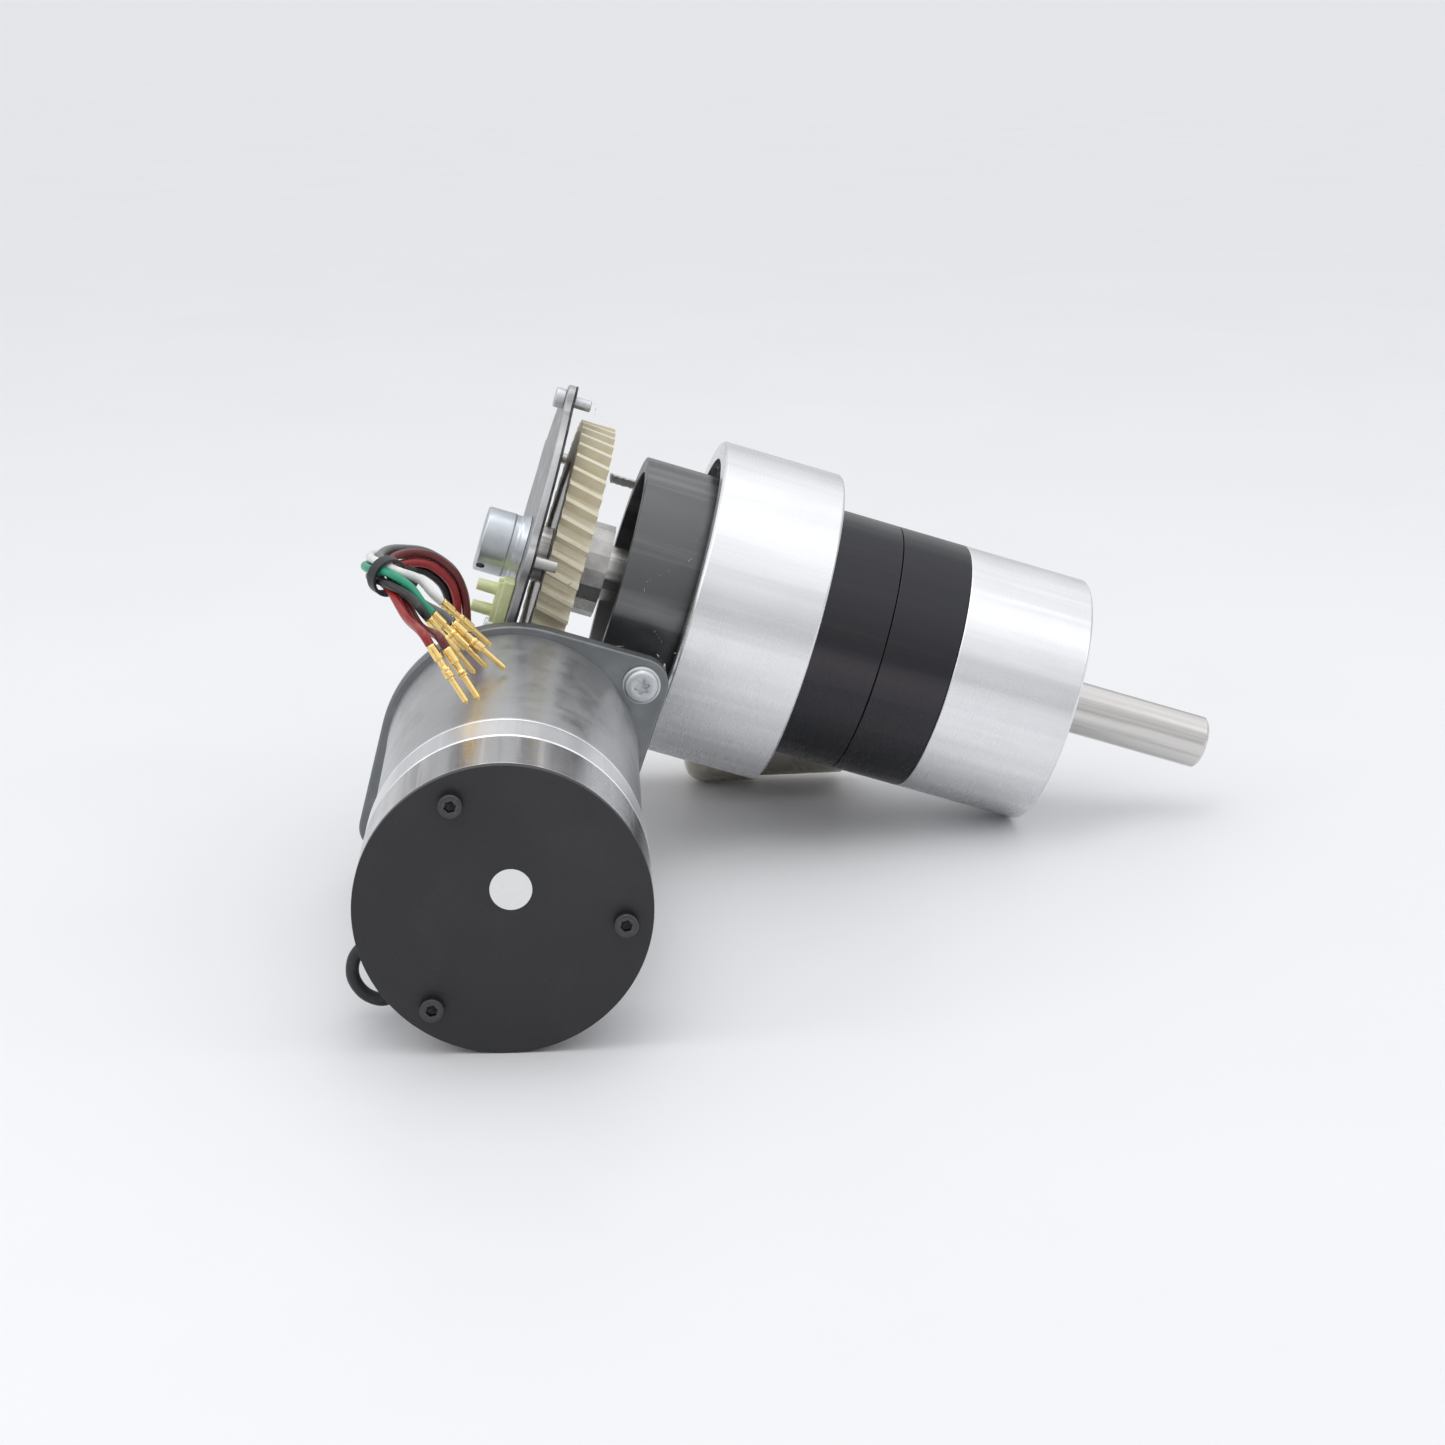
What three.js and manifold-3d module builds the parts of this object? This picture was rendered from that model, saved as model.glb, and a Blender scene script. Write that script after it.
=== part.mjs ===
// Right-angle worm gearmotor with a two-stage planetary gearhead, as an assembly
// of separate parts. Units are millimetres, +Z is up and the table top is z = 0.
//
// Two nested groups place everything. The outer group is the resting frame: +X is
// the horizontal heading of the output shaft and +Y runs from the motor's front
// cover to its back. Inside it the gearbox group leans nose down by restTilt. Its
// own x axis is the output axis, its y axis is parallel to the motor, and the
// motor axis lies centreDistance below the output axis.

import * as THREE from 'three';
import { mergeVertices } from 'three/addons/utils/BufferGeometryUtils.js';
import Module from 'manifold-3d';

const wasm = await Module();
wasm.setup();
const { Manifold } = wasm;

// ---- driving dimensions -------------------------------------------------------

const restTilt = THREE.MathUtils.degToRad(16.94);
const motorRadius = 42.5;
const centreDistance = 56.6;
const motorFront = -228.8; // y of the motor's front face
const gap = 0.1; // parts that touch stand this far apart

// facets round a turned body
const large = 28;
const medium = 18;
const small = 8;

const flangeEnd = 184.2; // x of the output flange's face
const shaftEnd = 243.3;
const shaftRadius = 9.5;
const keyLength = 42;
const keyMiddle = 211.5;
const keyTurn = THREE.MathUtils.degToRad(-63); // the key rests towards the back
const gearheadRadius = 44.9;
const adapterRadius = 56.6;
const adapterFrom = 44.2;
const adapterTo = 88;
const sleeveRadius = 43.5; // of the adapter's sleeve inside the gearbox neck
const stageSplit = 113.3; // x of the joint between the two ring gears
const ringEnd = 138.5;

const drumRadius = 57;
const neckRadius = 51;
const coverScrewCircle = 57.5;
const coverScrewAngles = [10, 154, 226];
const coverDowelAngles = [82, 298];
const coverBossAngles = [...coverScrewAngles, ...coverDowelAngles];

// planetary stages: sun, planet and ring teeth share one module
const planetaryModule = 1.6;
const sunTeeth = 15;
const planetTeeth = 15;
const ringTeeth = 45;
const planetOrbit = (planetaryModule * (sunTeeth + planetTeeth)) / 2;
const stageWidth = 16;
const stageOneFrom = 92;
const stageTwoFrom = 118;

// worm drive: two starts on a wheel with 48 teeth
const wormModule = 2;
const wormStarts = 2;
const wheelTeeth = 48;
const wheelPitchRadius = (wormModule * wheelTeeth) / 2;
const wormPitchRadius = centreDistance - wheelPitchRadius;
const wormLead = Math.PI * wormModule * wormStarts;
const wheelWidth = 12;

// ---- materials ------------------------------------------------------------------

const finish = (color, roughness, metalness) =>
  new THREE.MeshStandardMaterial({ color, roughness, metalness });

const turnedAluminium = finish(0xd9dbde, 0.3, 1);
const blackAnodised = finish(0x1b1c20, 0.45, 0.6);
const castAluminium = finish(0xa9abac, 0.55, 0.9);
const darkCasting = finish(0x6d7175, 0.5, 0.8);
const groundSteel = finish(0xb9b6b1, 0.25, 1);
const zincSteel = finish(0xaab0b4, 0.4, 0.9);
const blackOxide = finish(0x1a1a1c, 0.4, 0.7);
const nickel = finish(0xb8b2a4, 0.35, 1);
const gold = finish(0xd9b45a, 0.25, 1);
const sealRubber = finish(0x151515, 0.8, 0);
const blackPlastic = finish(0x202124, 0.6, 0);
const paleNylon = finish(0xd8dfa8, 0.5, 0);
const gearNylon = finish(0xe6dfc8, 0.5, 0);
const copper = finish(0xb5713c, 0.4, 1);

const insulation = {
  grey: finish(0x7f8283, 0.5, 0),
  dark_red: finish(0x6e1f22, 0.5, 0),
  black: finish(0x1f2023, 0.5, 0),
  white: finish(0xeeeeec, 0.5, 0),
  green: finish(0x2f9e74, 0.5, 0),
  red: finish(0x9c2d2d, 0.5, 0),
};

// ---- solids ---------------------------------------------------------------------

// Welds a geometry and drops its slivers, and turns it right side out.
function closed(geometry) {
  const bare = new THREE.BufferGeometry();
  bare.setAttribute('position', geometry.attributes.position);
  if (geometry.index) bare.setIndex(geometry.index);
  const welded = mergeVertices(bare, 1e-4);
  const position = welded.attributes.position;
  const corner = [0, 1, 2].map(() => new THREE.Vector3());
  const index = [];
  let volume = 0;
  for (let i = 0; i < welded.index.count; i += 3) {
    const face = [0, 1, 2].map((k) => welded.index.getX(i + k));
    if (new Set(face).size < 3) continue;
    face.forEach((vertex, k) => corner[k].fromBufferAttribute(position, vertex));
    volume += corner[0].dot(corner[1].clone().cross(corner[2]));
    index.push(...face);
  }
  if (volume < 0) index.reverse();
  welded.setIndex(index);
  return welded;
}

function solid(geometry) {
  const { attributes, index } = closed(geometry);
  const mesh = new wasm.Mesh({
    numProp: 3,
    vertProperties: new Float32Array(attributes.position.array),
    triVerts: new Uint32Array(index.array),
  });
  return new Manifold(mesh);
}

function fromSolid(manifold) {
  const mesh = manifold.getMesh();
  const geometry = new THREE.BufferGeometry();
  geometry.setAttribute('position', new THREE.BufferAttribute(mesh.vertProperties, 3));
  geometry.setIndex(new THREE.BufferAttribute(mesh.triVerts, 1));
  return geometry;
}

function part(name, shape, material) {
  const geometry = closed(shape instanceof THREE.BufferGeometry ? shape : fromSolid(shape));
  const flat = geometry.toNonIndexed();
  flat.computeVertexNormals();
  const mesh = new THREE.Mesh(flat, material);
  mesh.name = name;
  return mesh;
}

// A body turned about the gearbox x axis from a closed outline of [x, radius].
function turnedX(outline, segments = medium) {
  const points = [...outline, outline[0]].map(([x, radius]) => new THREE.Vector2(radius, x));
  return new THREE.LatheGeometry(points, segments).rotateZ(-Math.PI / 2);
}

// A body turned about a line parallel to y, from a closed outline of [y, radius].
function turnedY(outline, segments = medium, x = 0, z = 0) {
  const points = [...outline, outline[0]].map(([y, radius]) => new THREE.Vector2(radius, y));
  return new THREE.LatheGeometry(points, segments).translate(x, 0, z);
}

const rodX = (from, to, radius, y = 0, z = 0, segments = small) =>
  turnedX([[from, 0], [from, radius], [to, radius], [to, 0]], segments).translate(0, y, z);

const rodY = (from, to, radius, x = 0, z = 0, segments = small) =>
  turnedY([[from, 0], [from, radius], [to, radius], [to, 0]], segments, x, z);

const ringX = (from, to, inner, outer, segments = medium) =>
  turnedX([[from, inner], [from, outer], [to, outer], [to, inner]], segments);

// A rounded corner of a turned outline, as points from one angle to another.
function corner(centreAlong, centreRadius, radius, fromDegrees, toDegrees, steps = 3) {
  return Array.from({ length: steps + 1 }, (_, i) => {
    const angle = THREE.MathUtils.degToRad(
      fromDegrees + ((toDegrees - fromDegrees) * i) / steps,
    );
    return [centreAlong + radius * Math.cos(angle), centreRadius + radius * Math.sin(angle)];
  });
}

// Angles about the output axis run from straight up towards the motor side.
function aroundOutput(degrees, radius) {
  const angle = THREE.MathUtils.degToRad(degrees);
  return { y: -radius * Math.sin(angle), z: radius * Math.cos(angle) };
}

// ---- gears ----------------------------------------------------------------------

// The outline of a gear with straight-sided teeth, as a shape or a hole. Shares are
// of one tooth pitch, and leave backlash on both flanks.
function toothed(teeth, rootRadius, tipRadius, firstTooth = 0) {
  const pitch = (2 * Math.PI) / teeth;
  const points = [];
  for (let tooth = 0; tooth < teeth; tooth += 1) {
    const centre = firstTooth + tooth * pitch;
    for (const [radius, share] of [
      [rootRadius, -0.29],
      [tipRadius, -0.11],
      [tipRadius, 0.11],
      [rootRadius, 0.29],
    ]) {
      const angle = centre + share * pitch;
      points.push(new THREE.Vector2(radius * Math.cos(angle), radius * Math.sin(angle)));
    }
  }
  return points;
}

// Extrudes an outline, with a round hole if it has one. A twist, in radians per
// millimetre, turns it into a helix about its own axis.
function extruded(outline, width, holeRadius = 0, twist = 0, steps = 1) {
  const shape = new THREE.Shape(outline);
  if (holeRadius > 0) {
    shape.holes.push(new THREE.Path().absarc(0, 0, holeRadius, 0, 2 * Math.PI, true));
  }
  const geometry = new THREE.ExtrudeGeometry(shape, {
    depth: width,
    bevelEnabled: false,
    curveSegments: 7,
    steps,
  });
  const position = geometry.attributes.position;
  const point = new THREE.Vector3();
  const axis = new THREE.Vector3(0, 0, 1);
  for (let i = 0; i < position.count; i += 1) {
    point.fromBufferAttribute(position, i);
    point.applyAxisAngle(axis, twist * (point.z - width / 2));
    position.setXYZ(i, point.x, point.y, point.z);
  }
  return geometry;
}

// Lays an extrusion along the output axis. Its first axis then points up, and its
// second towards the motor, so angles in it are angles about the output.
function alongX(geometry, from) {
  const turn = new THREE.Matrix4().makeBasis(
    new THREE.Vector3(0, 0, 1),
    new THREE.Vector3(0, -1, 0),
    new THREE.Vector3(1, 0, 0),
  );
  return geometry.applyMatrix4(turn).translate(from, 0, 0);
}

function externalGear(teeth, module, from, width, holeRadius = 0) {
  const pitchRadius = (module * teeth) / 2;
  const outline = toothed(teeth, pitchRadius - 1.2 * module, pitchRadius + 0.85 * module);
  return solid(alongX(extruded(outline, width, holeRadius), from));
}

// ---- planetary gearhead -----------------------------------------------------------

function ringGear(from, to) {
  const pitchRadius = (planetaryModule * ringTeeth) / 2;
  const halfPitch = Math.PI / ringTeeth;
  const teeth = toothed(
    ringTeeth,
    pitchRadius + 1.2 * planetaryModule,
    pitchRadius - 0.85 * planetaryModule,
    halfPitch,
  );
  const body = solid(
    turnedX(
      [
        [from, 20],
        [from, gearheadRadius],
        [to, gearheadRadius],
        [to, 20],
      ],
      large,
    ),
  );
  return body.subtract(solid(alongX(extruded(teeth, to - from + 2), from - 1)));
}

function planets(stage, from) {
  return ['a', 'b', 'c'].map((letter, i) => {
    const place = aroundOutput(120 * i, planetOrbit);
    const gear = externalGear(planetTeeth, planetaryModule, 0, stageWidth, 4.4)
      .rotate([120 * i, 0, 0])
      .translate([from, place.y, place.z]);
    return part(`planet_${stage}${letter}`, gear, groundSteel);
  });
}

function carrier(from, plateRadius, plateWidth) {
  let body = solid(
    turnedX([[from, 0], [from, plateRadius], [from + plateWidth, plateRadius], [from + plateWidth, 0]]),
  );
  for (let i = 0; i < 3; i += 1) {
    const { y, z } = aroundOutput(120 * i, planetOrbit);
    body = body.add(solid(rodX(from - stageWidth, from + 1, 4.2, y, z)));
  }
  return body;
}

function planetaryGearhead() {
  const adapter = turnedX(
    [
      [adapterFrom, 50],
      [adapterFrom, adapterRadius - 0.8],
      [adapterFrom + 0.8, adapterRadius],
      [adapterTo - 0.8, adapterRadius],
      [adapterTo, adapterRadius - 0.8],
      [adapterTo, 16],
      [78, 16],
      [78, 38],
      [20, 38],
      [20, sleeveRadius],
      [76, sleeveRadius],
      [76, 47],
      [54, 47],
      [54, 50],
    ],
    large,
  );
  const flange = turnedX(
    [
      [ringEnd + gap, 21],
      [ringEnd + gap, gearheadRadius - 0.4],
      [ringEnd + 0.4, gearheadRadius],
      [flangeEnd - 1, gearheadRadius],
      [flangeEnd, gearheadRadius - 1],
      [flangeEnd, 14.5],
      [flangeEnd + 4.1, 14.5],
      [flangeEnd + 4.6, 14],
      [flangeEnd + 4.6, 12],
      [flangeEnd - 5, 12],
      [flangeEnd - 5, 21],
    ],
    large,
  );
  const bearings = [
    ['output_bearing_rear', 144],
    ['output_bearing_front', 164],
  ].map(([name, from]) => part(name, ringX(from, from + 12, 11.3, 20.7), groundSteel));
  const seal = ringX(flangeEnd - 4, flangeEnd + 4.2, shaftRadius + 0.3, 11.8);

  // output carrier and shaft in one piece, with its keyway
  const plateFrom = stageTwoFrom + stageWidth + 0.4;
  const keyway = new THREE.BoxGeometry(keyLength + 0.2, 6.1, 5)
    .translate(keyMiddle, 0, shaftRadius - 0.9)
    .rotateX(keyTurn);
  const shaft = solid(
    turnedX(
      [
        [plateFrom, 0],
        [plateFrom, 34],
        [plateFrom + 4, 34],
        [plateFrom + 4, 12],
        [143.6, 12],
        [143.6, 11],
        [178, 11],
        [178, shaftRadius],
        [shaftEnd - 1.2, shaftRadius],
        [shaftEnd, shaftRadius - 1.2],
        [shaftEnd, 0],
      ],
      medium,
    ),
  )
    .add(carrier(plateFrom, 34, 4))
    .subtract(solid(keyway));
  const key = new THREE.ExtrudeGeometry(roundEnded(keyLength, 5.9), {
    depth: 5.8,
    bevelEnabled: false,
    curveSegments: 6,
  })
    .translate(keyMiddle, 0, shaftRadius - 3.35)
    .rotateX(keyTurn);

  // first carrier, which the second sun is cut on
  const firstPlate = stageOneFrom + stageWidth + 0.4;
  const sunTwo = externalGear(
    sunTeeth,
    planetaryModule,
    firstPlate + 3,
    stageTwoFrom + stageWidth - firstPlate - 3.6,
  );

  return [
    part('motor_adapter', adapter, turnedAluminium),
    part('ring_gear_1', ringGear(adapterTo + gap, stageSplit), blackAnodised),
    part('ring_gear_2', ringGear(stageSplit + 2 * gap, ringEnd), blackAnodised),
    part('output_flange', flange, turnedAluminium),
    ...bearings,
    part('output_seal', seal, sealRubber),
    part('output_shaft', shaft, groundSteel),
    part('output_key', key, groundSteel),
    part('carrier_1', carrier(firstPlate, 34, 4).add(sunTwo), groundSteel),
    ...planets(1, stageOneFrom),
    ...planets(2, stageTwoFrom),
  ];
}

// A key's outline: a rectangle along x with round ends.
function roundEnded(length, width) {
  const shape = new THREE.Shape();
  const straight = (length - width) / 2;
  shape.absarc(straight, 0, width / 2, -Math.PI / 2, Math.PI / 2);
  shape.absarc(-straight, 0, width / 2, Math.PI / 2, (3 * Math.PI) / 2);
  return shape;
}

// ---- worm gearbox ---------------------------------------------------------------

function housing() {
  const outside = turnedX(
    [
      [-11, 0],
      [-11, drumRadius + 1.5],
      [-6.5, drumRadius + 1.5],
      [-5.5, drumRadius],
      ...corner(6, drumRadius - 5.5, 5.5, 90, 0),
      [11.5, neckRadius],
      [42, neckRadius],
      [42, neckRadius + 2],
      [44, neckRadius + 2],
      [44, 0],
    ],
    large,
  );
  let body = solid(outside);

  // a raised land along the top of the neck, and a thinner one below
  for (const [middle, half, height] of [
    [0, 23, 52.6],
    [180, 20, 52.2],
  ]) {
    const land = new THREE.Shape();
    const from = THREE.MathUtils.degToRad(middle - half);
    const to = THREE.MathUtils.degToRad(middle + half);
    land.absarc(0, 0, height, from, to, false);
    land.absarc(0, 0, 48.5, to, from, true);
    body = body.add(solid(alongX(extruded(land.getPoints(8), 31), 11.2)));
  }
  // ribs along the neck and bosses for the cover screws
  for (const degrees of [59.6, -59.6, 120]) {
    const { y, z } = aroundOutput(degrees, neckRadius + 0.4);
    body = body.add(solid(rodX(10, 43, 1.8, y, z)));
  }
  coverBossAngles.forEach((degrees) => {
    const { y, z } = aroundOutput(degrees, coverScrewCircle);
    const slim = coverDowelAngles.includes(degrees);
    body = body.add(solid(rodX(-11, slim ? 2.4 : 0.5, slim ? 4.2 : 5.2, y, z)));
  });

  // worm tunnel under the drum, and the eared spigot that the motor bolts to
  body = body.add(solid(earedPlate(-58.7, -47, 37, 37, 8.2)));
  body = body.add(solid(rodY(-50, 46, 20.5, 0, -centreDistance, medium)));

  // hollow inside: wheel chamber, neck, the bearing bore between them, and the worm
  const chambers = [
    turnedX([[-12, 0], [-12, 53], [6.5, 53], [6.5, 0]]),
    turnedX([[14, 0], [14, 47.5], [45, 47.5], [45, 0]]),
    rodX(5, 16, 17, 0, 0, medium),
    rodX(-40, -11, 64, 0, 0, large),
    rodY(-60, 40.5, 10.95, 0, -centreDistance, medium),
    rodY(-60, -50, 22.5, 0, -centreDistance, medium),
    ...[1, -1].map((side) => rodY(-60, -44, 3.4, ...motorScrewPlace(side), 16)),
    ...coverBossAngles.map((degrees) => {
      const { y, z } = aroundOutput(degrees, coverScrewCircle);
      return rodX(-12, -3, 2.2, y, z);
    }),
  ];
  chambers.forEach((chamber) => {
    body = body.subtract(solid(chamber));
  });
  [1, -1].forEach((side) => {
    windowCutters(side).forEach((cutter) => {
      body = body.subtract(solid(cutter));
    });
  });
  return body;
}

// The neck's end is cut out to a zigzag on each side, like two open windows with a
// tongue between them. Each outline gives [x, degrees round the neck].
function windowCutters(side) {
  const outlines = [
    [[28, 31], [28.6, 42.5], [40.8, 56.4], [40.8, 22]],
    [[40.1, 64], [27.8, 78], [28.2, 88.5], [40.8, 101]],
    [[40.7, 22], [40.7, 61.5], [46, 61.5], [46, 22]],
    [[40.7, 61.4], [40.7, 101], [46, 101], [46, 61.4]],
  ];
  return outlines.map((outline) => {
    const inner = 40;
    const outer = 60;
    const vertices = [];
    for (const radius of [inner, outer]) {
      for (const [x, degrees] of outline) {
        const { y, z } = aroundOutput(degrees, radius);
        vertices.push(x, y * side, z);
      }
    }
    const sides = [0, 1, 2, 3].flatMap((i) => {
      const j = (i + 1) % 4;
      return [i, j, j + 4, i, j + 4, i + 4];
    });
    const geometry = new THREE.BufferGeometry();
    geometry.setAttribute('position', new THREE.Float32BufferAttribute(vertices, 3));
    geometry.setIndex([0, 2, 1, 0, 3, 2, 4, 5, 6, 4, 6, 7, ...sides]);
    return geometry;
  });
}

// The motor flange's two screws stand on one diagonal.
function motorScrewPlace(side) {
  return [side * 34.4, side * 36 - centreDistance];
}

// A round plate across the motor axis, with straight tangents out to two screw ears.
// Below the ears' diagonal it may have a smaller radius, so that it clears the table.
function earedPlate(from, to, radius, lowerRadius, earRadius) {
  const [x, z] = motorScrewPlace(1);
  const reach = Math.hypot(x, z + centreDistance);
  const ear = Math.atan2(z + centreDistance, x);
  const opposite = ear + Math.PI;
  const above = Math.acos((radius - earRadius) / reach);
  const below = Math.acos((lowerRadius - earRadius) / reach);
  const shape = new THREE.Shape();
  const earAt = (heading, start, end) => {
    const centre = [reach * Math.cos(heading), reach * Math.sin(heading)];
    shape.absarc(...centre, earRadius, heading + start, heading + end, false);
  };
  earAt(ear, -below, above);
  shape.absarc(0, 0, radius, ear + above, opposite - above, false);
  earAt(opposite, -above, below);
  shape.absarc(0, 0, lowerRadius, opposite + below, opposite + Math.PI - below, false);
  return extruded(shape.getPoints(10), to - from)
    .rotateX(Math.PI / 2)
    .translate(0, to, -centreDistance);
}

// The cover's outline, shared by its gasket: a disc with an ear at each boss.
function coverBlank(from, to, radius, earRadius, boreRadius) {
  let body = solid(rodX(from, to, radius, 0, 0, large));
  for (const degrees of coverBossAngles) {
    const { y, z } = aroundOutput(degrees, coverScrewCircle);
    body = body.add(solid(rodX(from, to, earRadius, y, z)));
  }
  for (const degrees of coverBossAngles) {
    const { y, z } = aroundOutput(degrees, coverScrewCircle);
    body = body.subtract(solid(rodX(from - 1, to + 1, 2.2, y, z)));
  }
  if (boreRadius > 0) {
    body = body.subtract(solid(rodX(from - 1, to + 1, boreRadius, 0, 0, large)));
  }
  return body;
}

// A screw that points along +x, with its socket open at the head.
function screw(headRadius, headHeight, shankRadius, length, socketRadius, lobes) {
  const head = turnedX(
    [
      [-headHeight, 0],
      [-headHeight, headRadius - 0.4],
      [-headHeight + 0.4, headRadius],
      [0, headRadius],
      [0, shankRadius],
      [length, shankRadius],
      [length, 0],
    ],
    small,
  );
  const socket = rodX(-headHeight - 1, -headHeight + 2.2, socketRadius, 0, 0, lobes);
  return solid(head).subtract(solid(socket));
}

function wormGearbox() {
  const cover = coverBlank(-14.6, -11.9, drumRadius, 5.4, 0);
  const gasket = coverBlank(-11.8, -11.1, drumRadius - 0.6, 5, 53.5);
  const coverScrews = coverScrewAngles.map((degrees, i) => {
    const { y, z } = aroundOutput(degrees, coverScrewCircle);
    const body = screw(3.5, 3.6, 2, 9.5, 1.7, 6).translate([-14.65, y, z]);
    return part(`cover_screw_${i + 1}`, body, zincSteel);
  });
  const coverDowels = coverDowelAngles.map((degrees, i) => {
    const { y, z } = aroundOutput(degrees, coverScrewCircle);
    return part(`cover_dowel_${i + 1}`, rodX(-14.4, -3.3, 2, y, z), groundSteel);
  });

  // sensor cup on the cover and the pale nylon block with two pegs below it
  const cup = turnedX(
    [
      [-29.8, 0],
      [-29.8, 10.6],
      [-29.2, 11.2],
      [-17, 11.2],
      [-14.7, 12],
      [-14.7, 0],
    ],
    medium,
  ).translate(0, -31, 5.8);
  let connector = solid(new THREE.BoxGeometry(4, 10.5, 16).translate(-16.7, -45.8, -10.5));
  for (const z of [-7, -14.6]) {
    connector = connector.add(solid(rodX(-27, -17, 2.5, -45, z)));
  }

  // wheel: nylon teeth on a steel hub and shaft, which carries the first sun
  const helix = wormLead / (2 * Math.PI * wormPitchRadius * wheelPitchRadius);
  const teeth = toothed(
    wheelTeeth,
    wheelPitchRadius - 1.2 * wormModule,
    wheelPitchRadius + 0.85 * wormModule,
    Math.PI / wheelTeeth,
  );
  const rim = solid(alongX(extruded(teeth, wheelWidth, 35.5, helix), -wheelWidth / 2));
  const shaft = solid(
    turnedX(
      [
        [-9.5, 0],
        [-9.5, 10],
        [-5, 10],
        [-5, 33.9],
        [5, 33.9],
        [5, 11],
        [7, 9.9],
        [40, 9.9],
        [40, 15],
        [76, 15],
        [76, 8],
        [92, 8],
        [92, 0],
      ],
      medium,
    ),
  ).add(externalGear(sunTeeth, planetaryModule, 91.5, stageWidth + 0.5));
  const bearing = ringX(7.5, 15.9, 10.2, 16.9);

  // worm and motor shaft in one piece
  const worm = wormThread().add(
    solid(
      turnedY(
        [
          [motorFront + 26, 0],
          [motorFront + 26, 5],
          [38, 5],
          [38, 0],
        ],
        medium,
        0,
        -centreDistance,
      ),
    ),
  );
  const endBearing = turnedY([[30, 5.2], [30, 10.8], [38, 10.8], [38, 5.2]], medium, 0, -centreDistance);

  return [
    part('worm_housing', housing(), castAluminium),
    part('housing_cover', cover, castAluminium),
    part('cover_gasket', gasket, sealRubber),
    ...coverScrews,
    ...coverDowels,
    part('sensor_cup', cup, zincSteel),
    part('nylon_connector', connector, paleNylon),
    part('worm_wheel', rim, gearNylon),
    part('wheel_shaft', shaft, groundSteel),
    part('wheel_bearing', bearing, groundSteel),
    part('worm_shaft', worm, groundSteel),
    part('worm_end_bearing', endBearing, groundSteel),
  ];
}

// A two-start thread: the outline across the worm turns once for each lead. At the
// middle of the worm one thread stands straight up.
function wormThread() {
  const root = wormPitchRadius - 1.15 * wormModule;
  const tip = wormPitchRadius + 0.85 * wormModule;
  const length = 40;
  const outline = [];
  for (let start = 0; start < wormStarts; start += 1) {
    for (const [share, height] of [
      [-0.29, 0],
      [-0.11, 1],
      [0, 1],
      [0.11, 1],
      [0.29, 0],
      [0.5, 0],
    ]) {
      const angle = (2 * Math.PI * (start + share)) / wormStarts - Math.PI / 2;
      const radius = root + height * (tip - root);
      outline.push(new THREE.Vector2(radius * Math.cos(angle), radius * Math.sin(angle)));
    }
  }
  const geometry = extruded(outline, length, 0, (2 * Math.PI) / wormLead, 26);
  return solid(geometry.rotateX(-Math.PI / 2).translate(0, -length / 2, -centreDistance));
}

// ---- motor ----------------------------------------------------------------------

function motor() {
  const at = (distance) => motorFront + distance;
  const turned = (outline, segments = medium) => solid(turnedY(outline, segments, 0, -centreDistance));
  const hole = (place, from, to, radius) => solid(rodY(at(from), at(to), radius, ...place));

  // three cap screws hold the black cover to the front ring
  const capPlaces = [-40.7, 79.3, 199.3].map((degrees) => {
    const angle = THREE.MathUtils.degToRad(degrees);
    return [34.7 * Math.sin(angle), 34.7 * Math.cos(angle) - centreDistance];
  });
  let cover = turned(
    [
      [at(0), 0],
      [at(0), motorRadius - 0.3],
      [at(0.3), motorRadius],
      [at(3), motorRadius],
      [at(3), 0],
    ],
    large,
  );
  let frontRing = turned(
    [
      [at(3.05), 29],
      [at(3.05), motorRadius],
      [at(32.4), motorRadius],
      [at(33), motorRadius - 0.6],
      [at(33), 36],
      [at(22), 36],
      [at(22), 29],
    ],
    large,
  );
  capPlaces.forEach((place) => {
    cover = cover.subtract(hole(place, -1, 4, 2.2));
    frontRing = frontRing.subtract(hole(place, 2, 19, 2.2));
  });
  const capScrews = capPlaces.map(([x, z], i) => {
    const body = screw(3.5, 4, 2, 16, 1.75, 6)
      .rotate([0, 0, 90])
      .translate([x, at(-0.05), z]);
    return part(`cover_cap_screw_${i + 1}`, body, blackOxide);
  });

  const spacer = turned(
    [
      [at(33.1), 36],
      [at(33.1), motorRadius - 0.7],
      [at(33.7), motorRadius - 0.1],
      [at(53), motorRadius - 0.1],
      [at(53.6), motorRadius - 0.7],
      [at(53.6), 36],
    ],
    large,
  );
  const can = turned(
    [
      [at(53.7), 36.5],
      [at(53.7), 40.6],
      [at(55), 41.2],
      [at(150), 42],
      [at(162.6), 42.4],
      [at(162.6), 5.3],
      [at(156), 5.3],
      [at(156), 38.5],
      [at(58), 38.5],
      [at(58), 36.5],
    ],
    large,
  );

  let flange = solid(earedPlate(at(162.7), at(170), 45, motorRadius, 9));
  flange = flange.subtract(solid(rodY(at(161), at(172), 21, 0, -centreDistance, medium)));
  const flangeScrews = [1, -1].map((side) => {
    const [x, z] = motorScrewPlace(side);
    flange = flange.subtract(hole([x, z], 161, 172, 3.3));
    const body = torxScrew().rotate([0, 0, 90]).translate([x, at(162.6), z]);
    return part(side > 0 ? 'flange_screw_upper' : 'flange_screw_lower', body, zincSteel);
  });

  const stator = turned([[at(64), 24.3], [at(64), 38], [at(140), 38], [at(140), 24.3]]);
  const rotor = turned([[at(68), 5.05], [at(68), 23.5], [at(136), 23.5], [at(136), 5.05]]);

  return [
    part('motor_cover', cover, blackAnodised),
    ...capScrews,
    part('front_ring', frontRing, groundSteel),
    part('spacer_ring', spacer, turnedAluminium),
    part('motor_can', can, darkCasting),
    part('motor_flange', flange, darkCasting),
    ...flangeScrews,
    part('stator', stator, copper),
    part('rotor', rotor, groundSteel),
  ];
}

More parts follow.
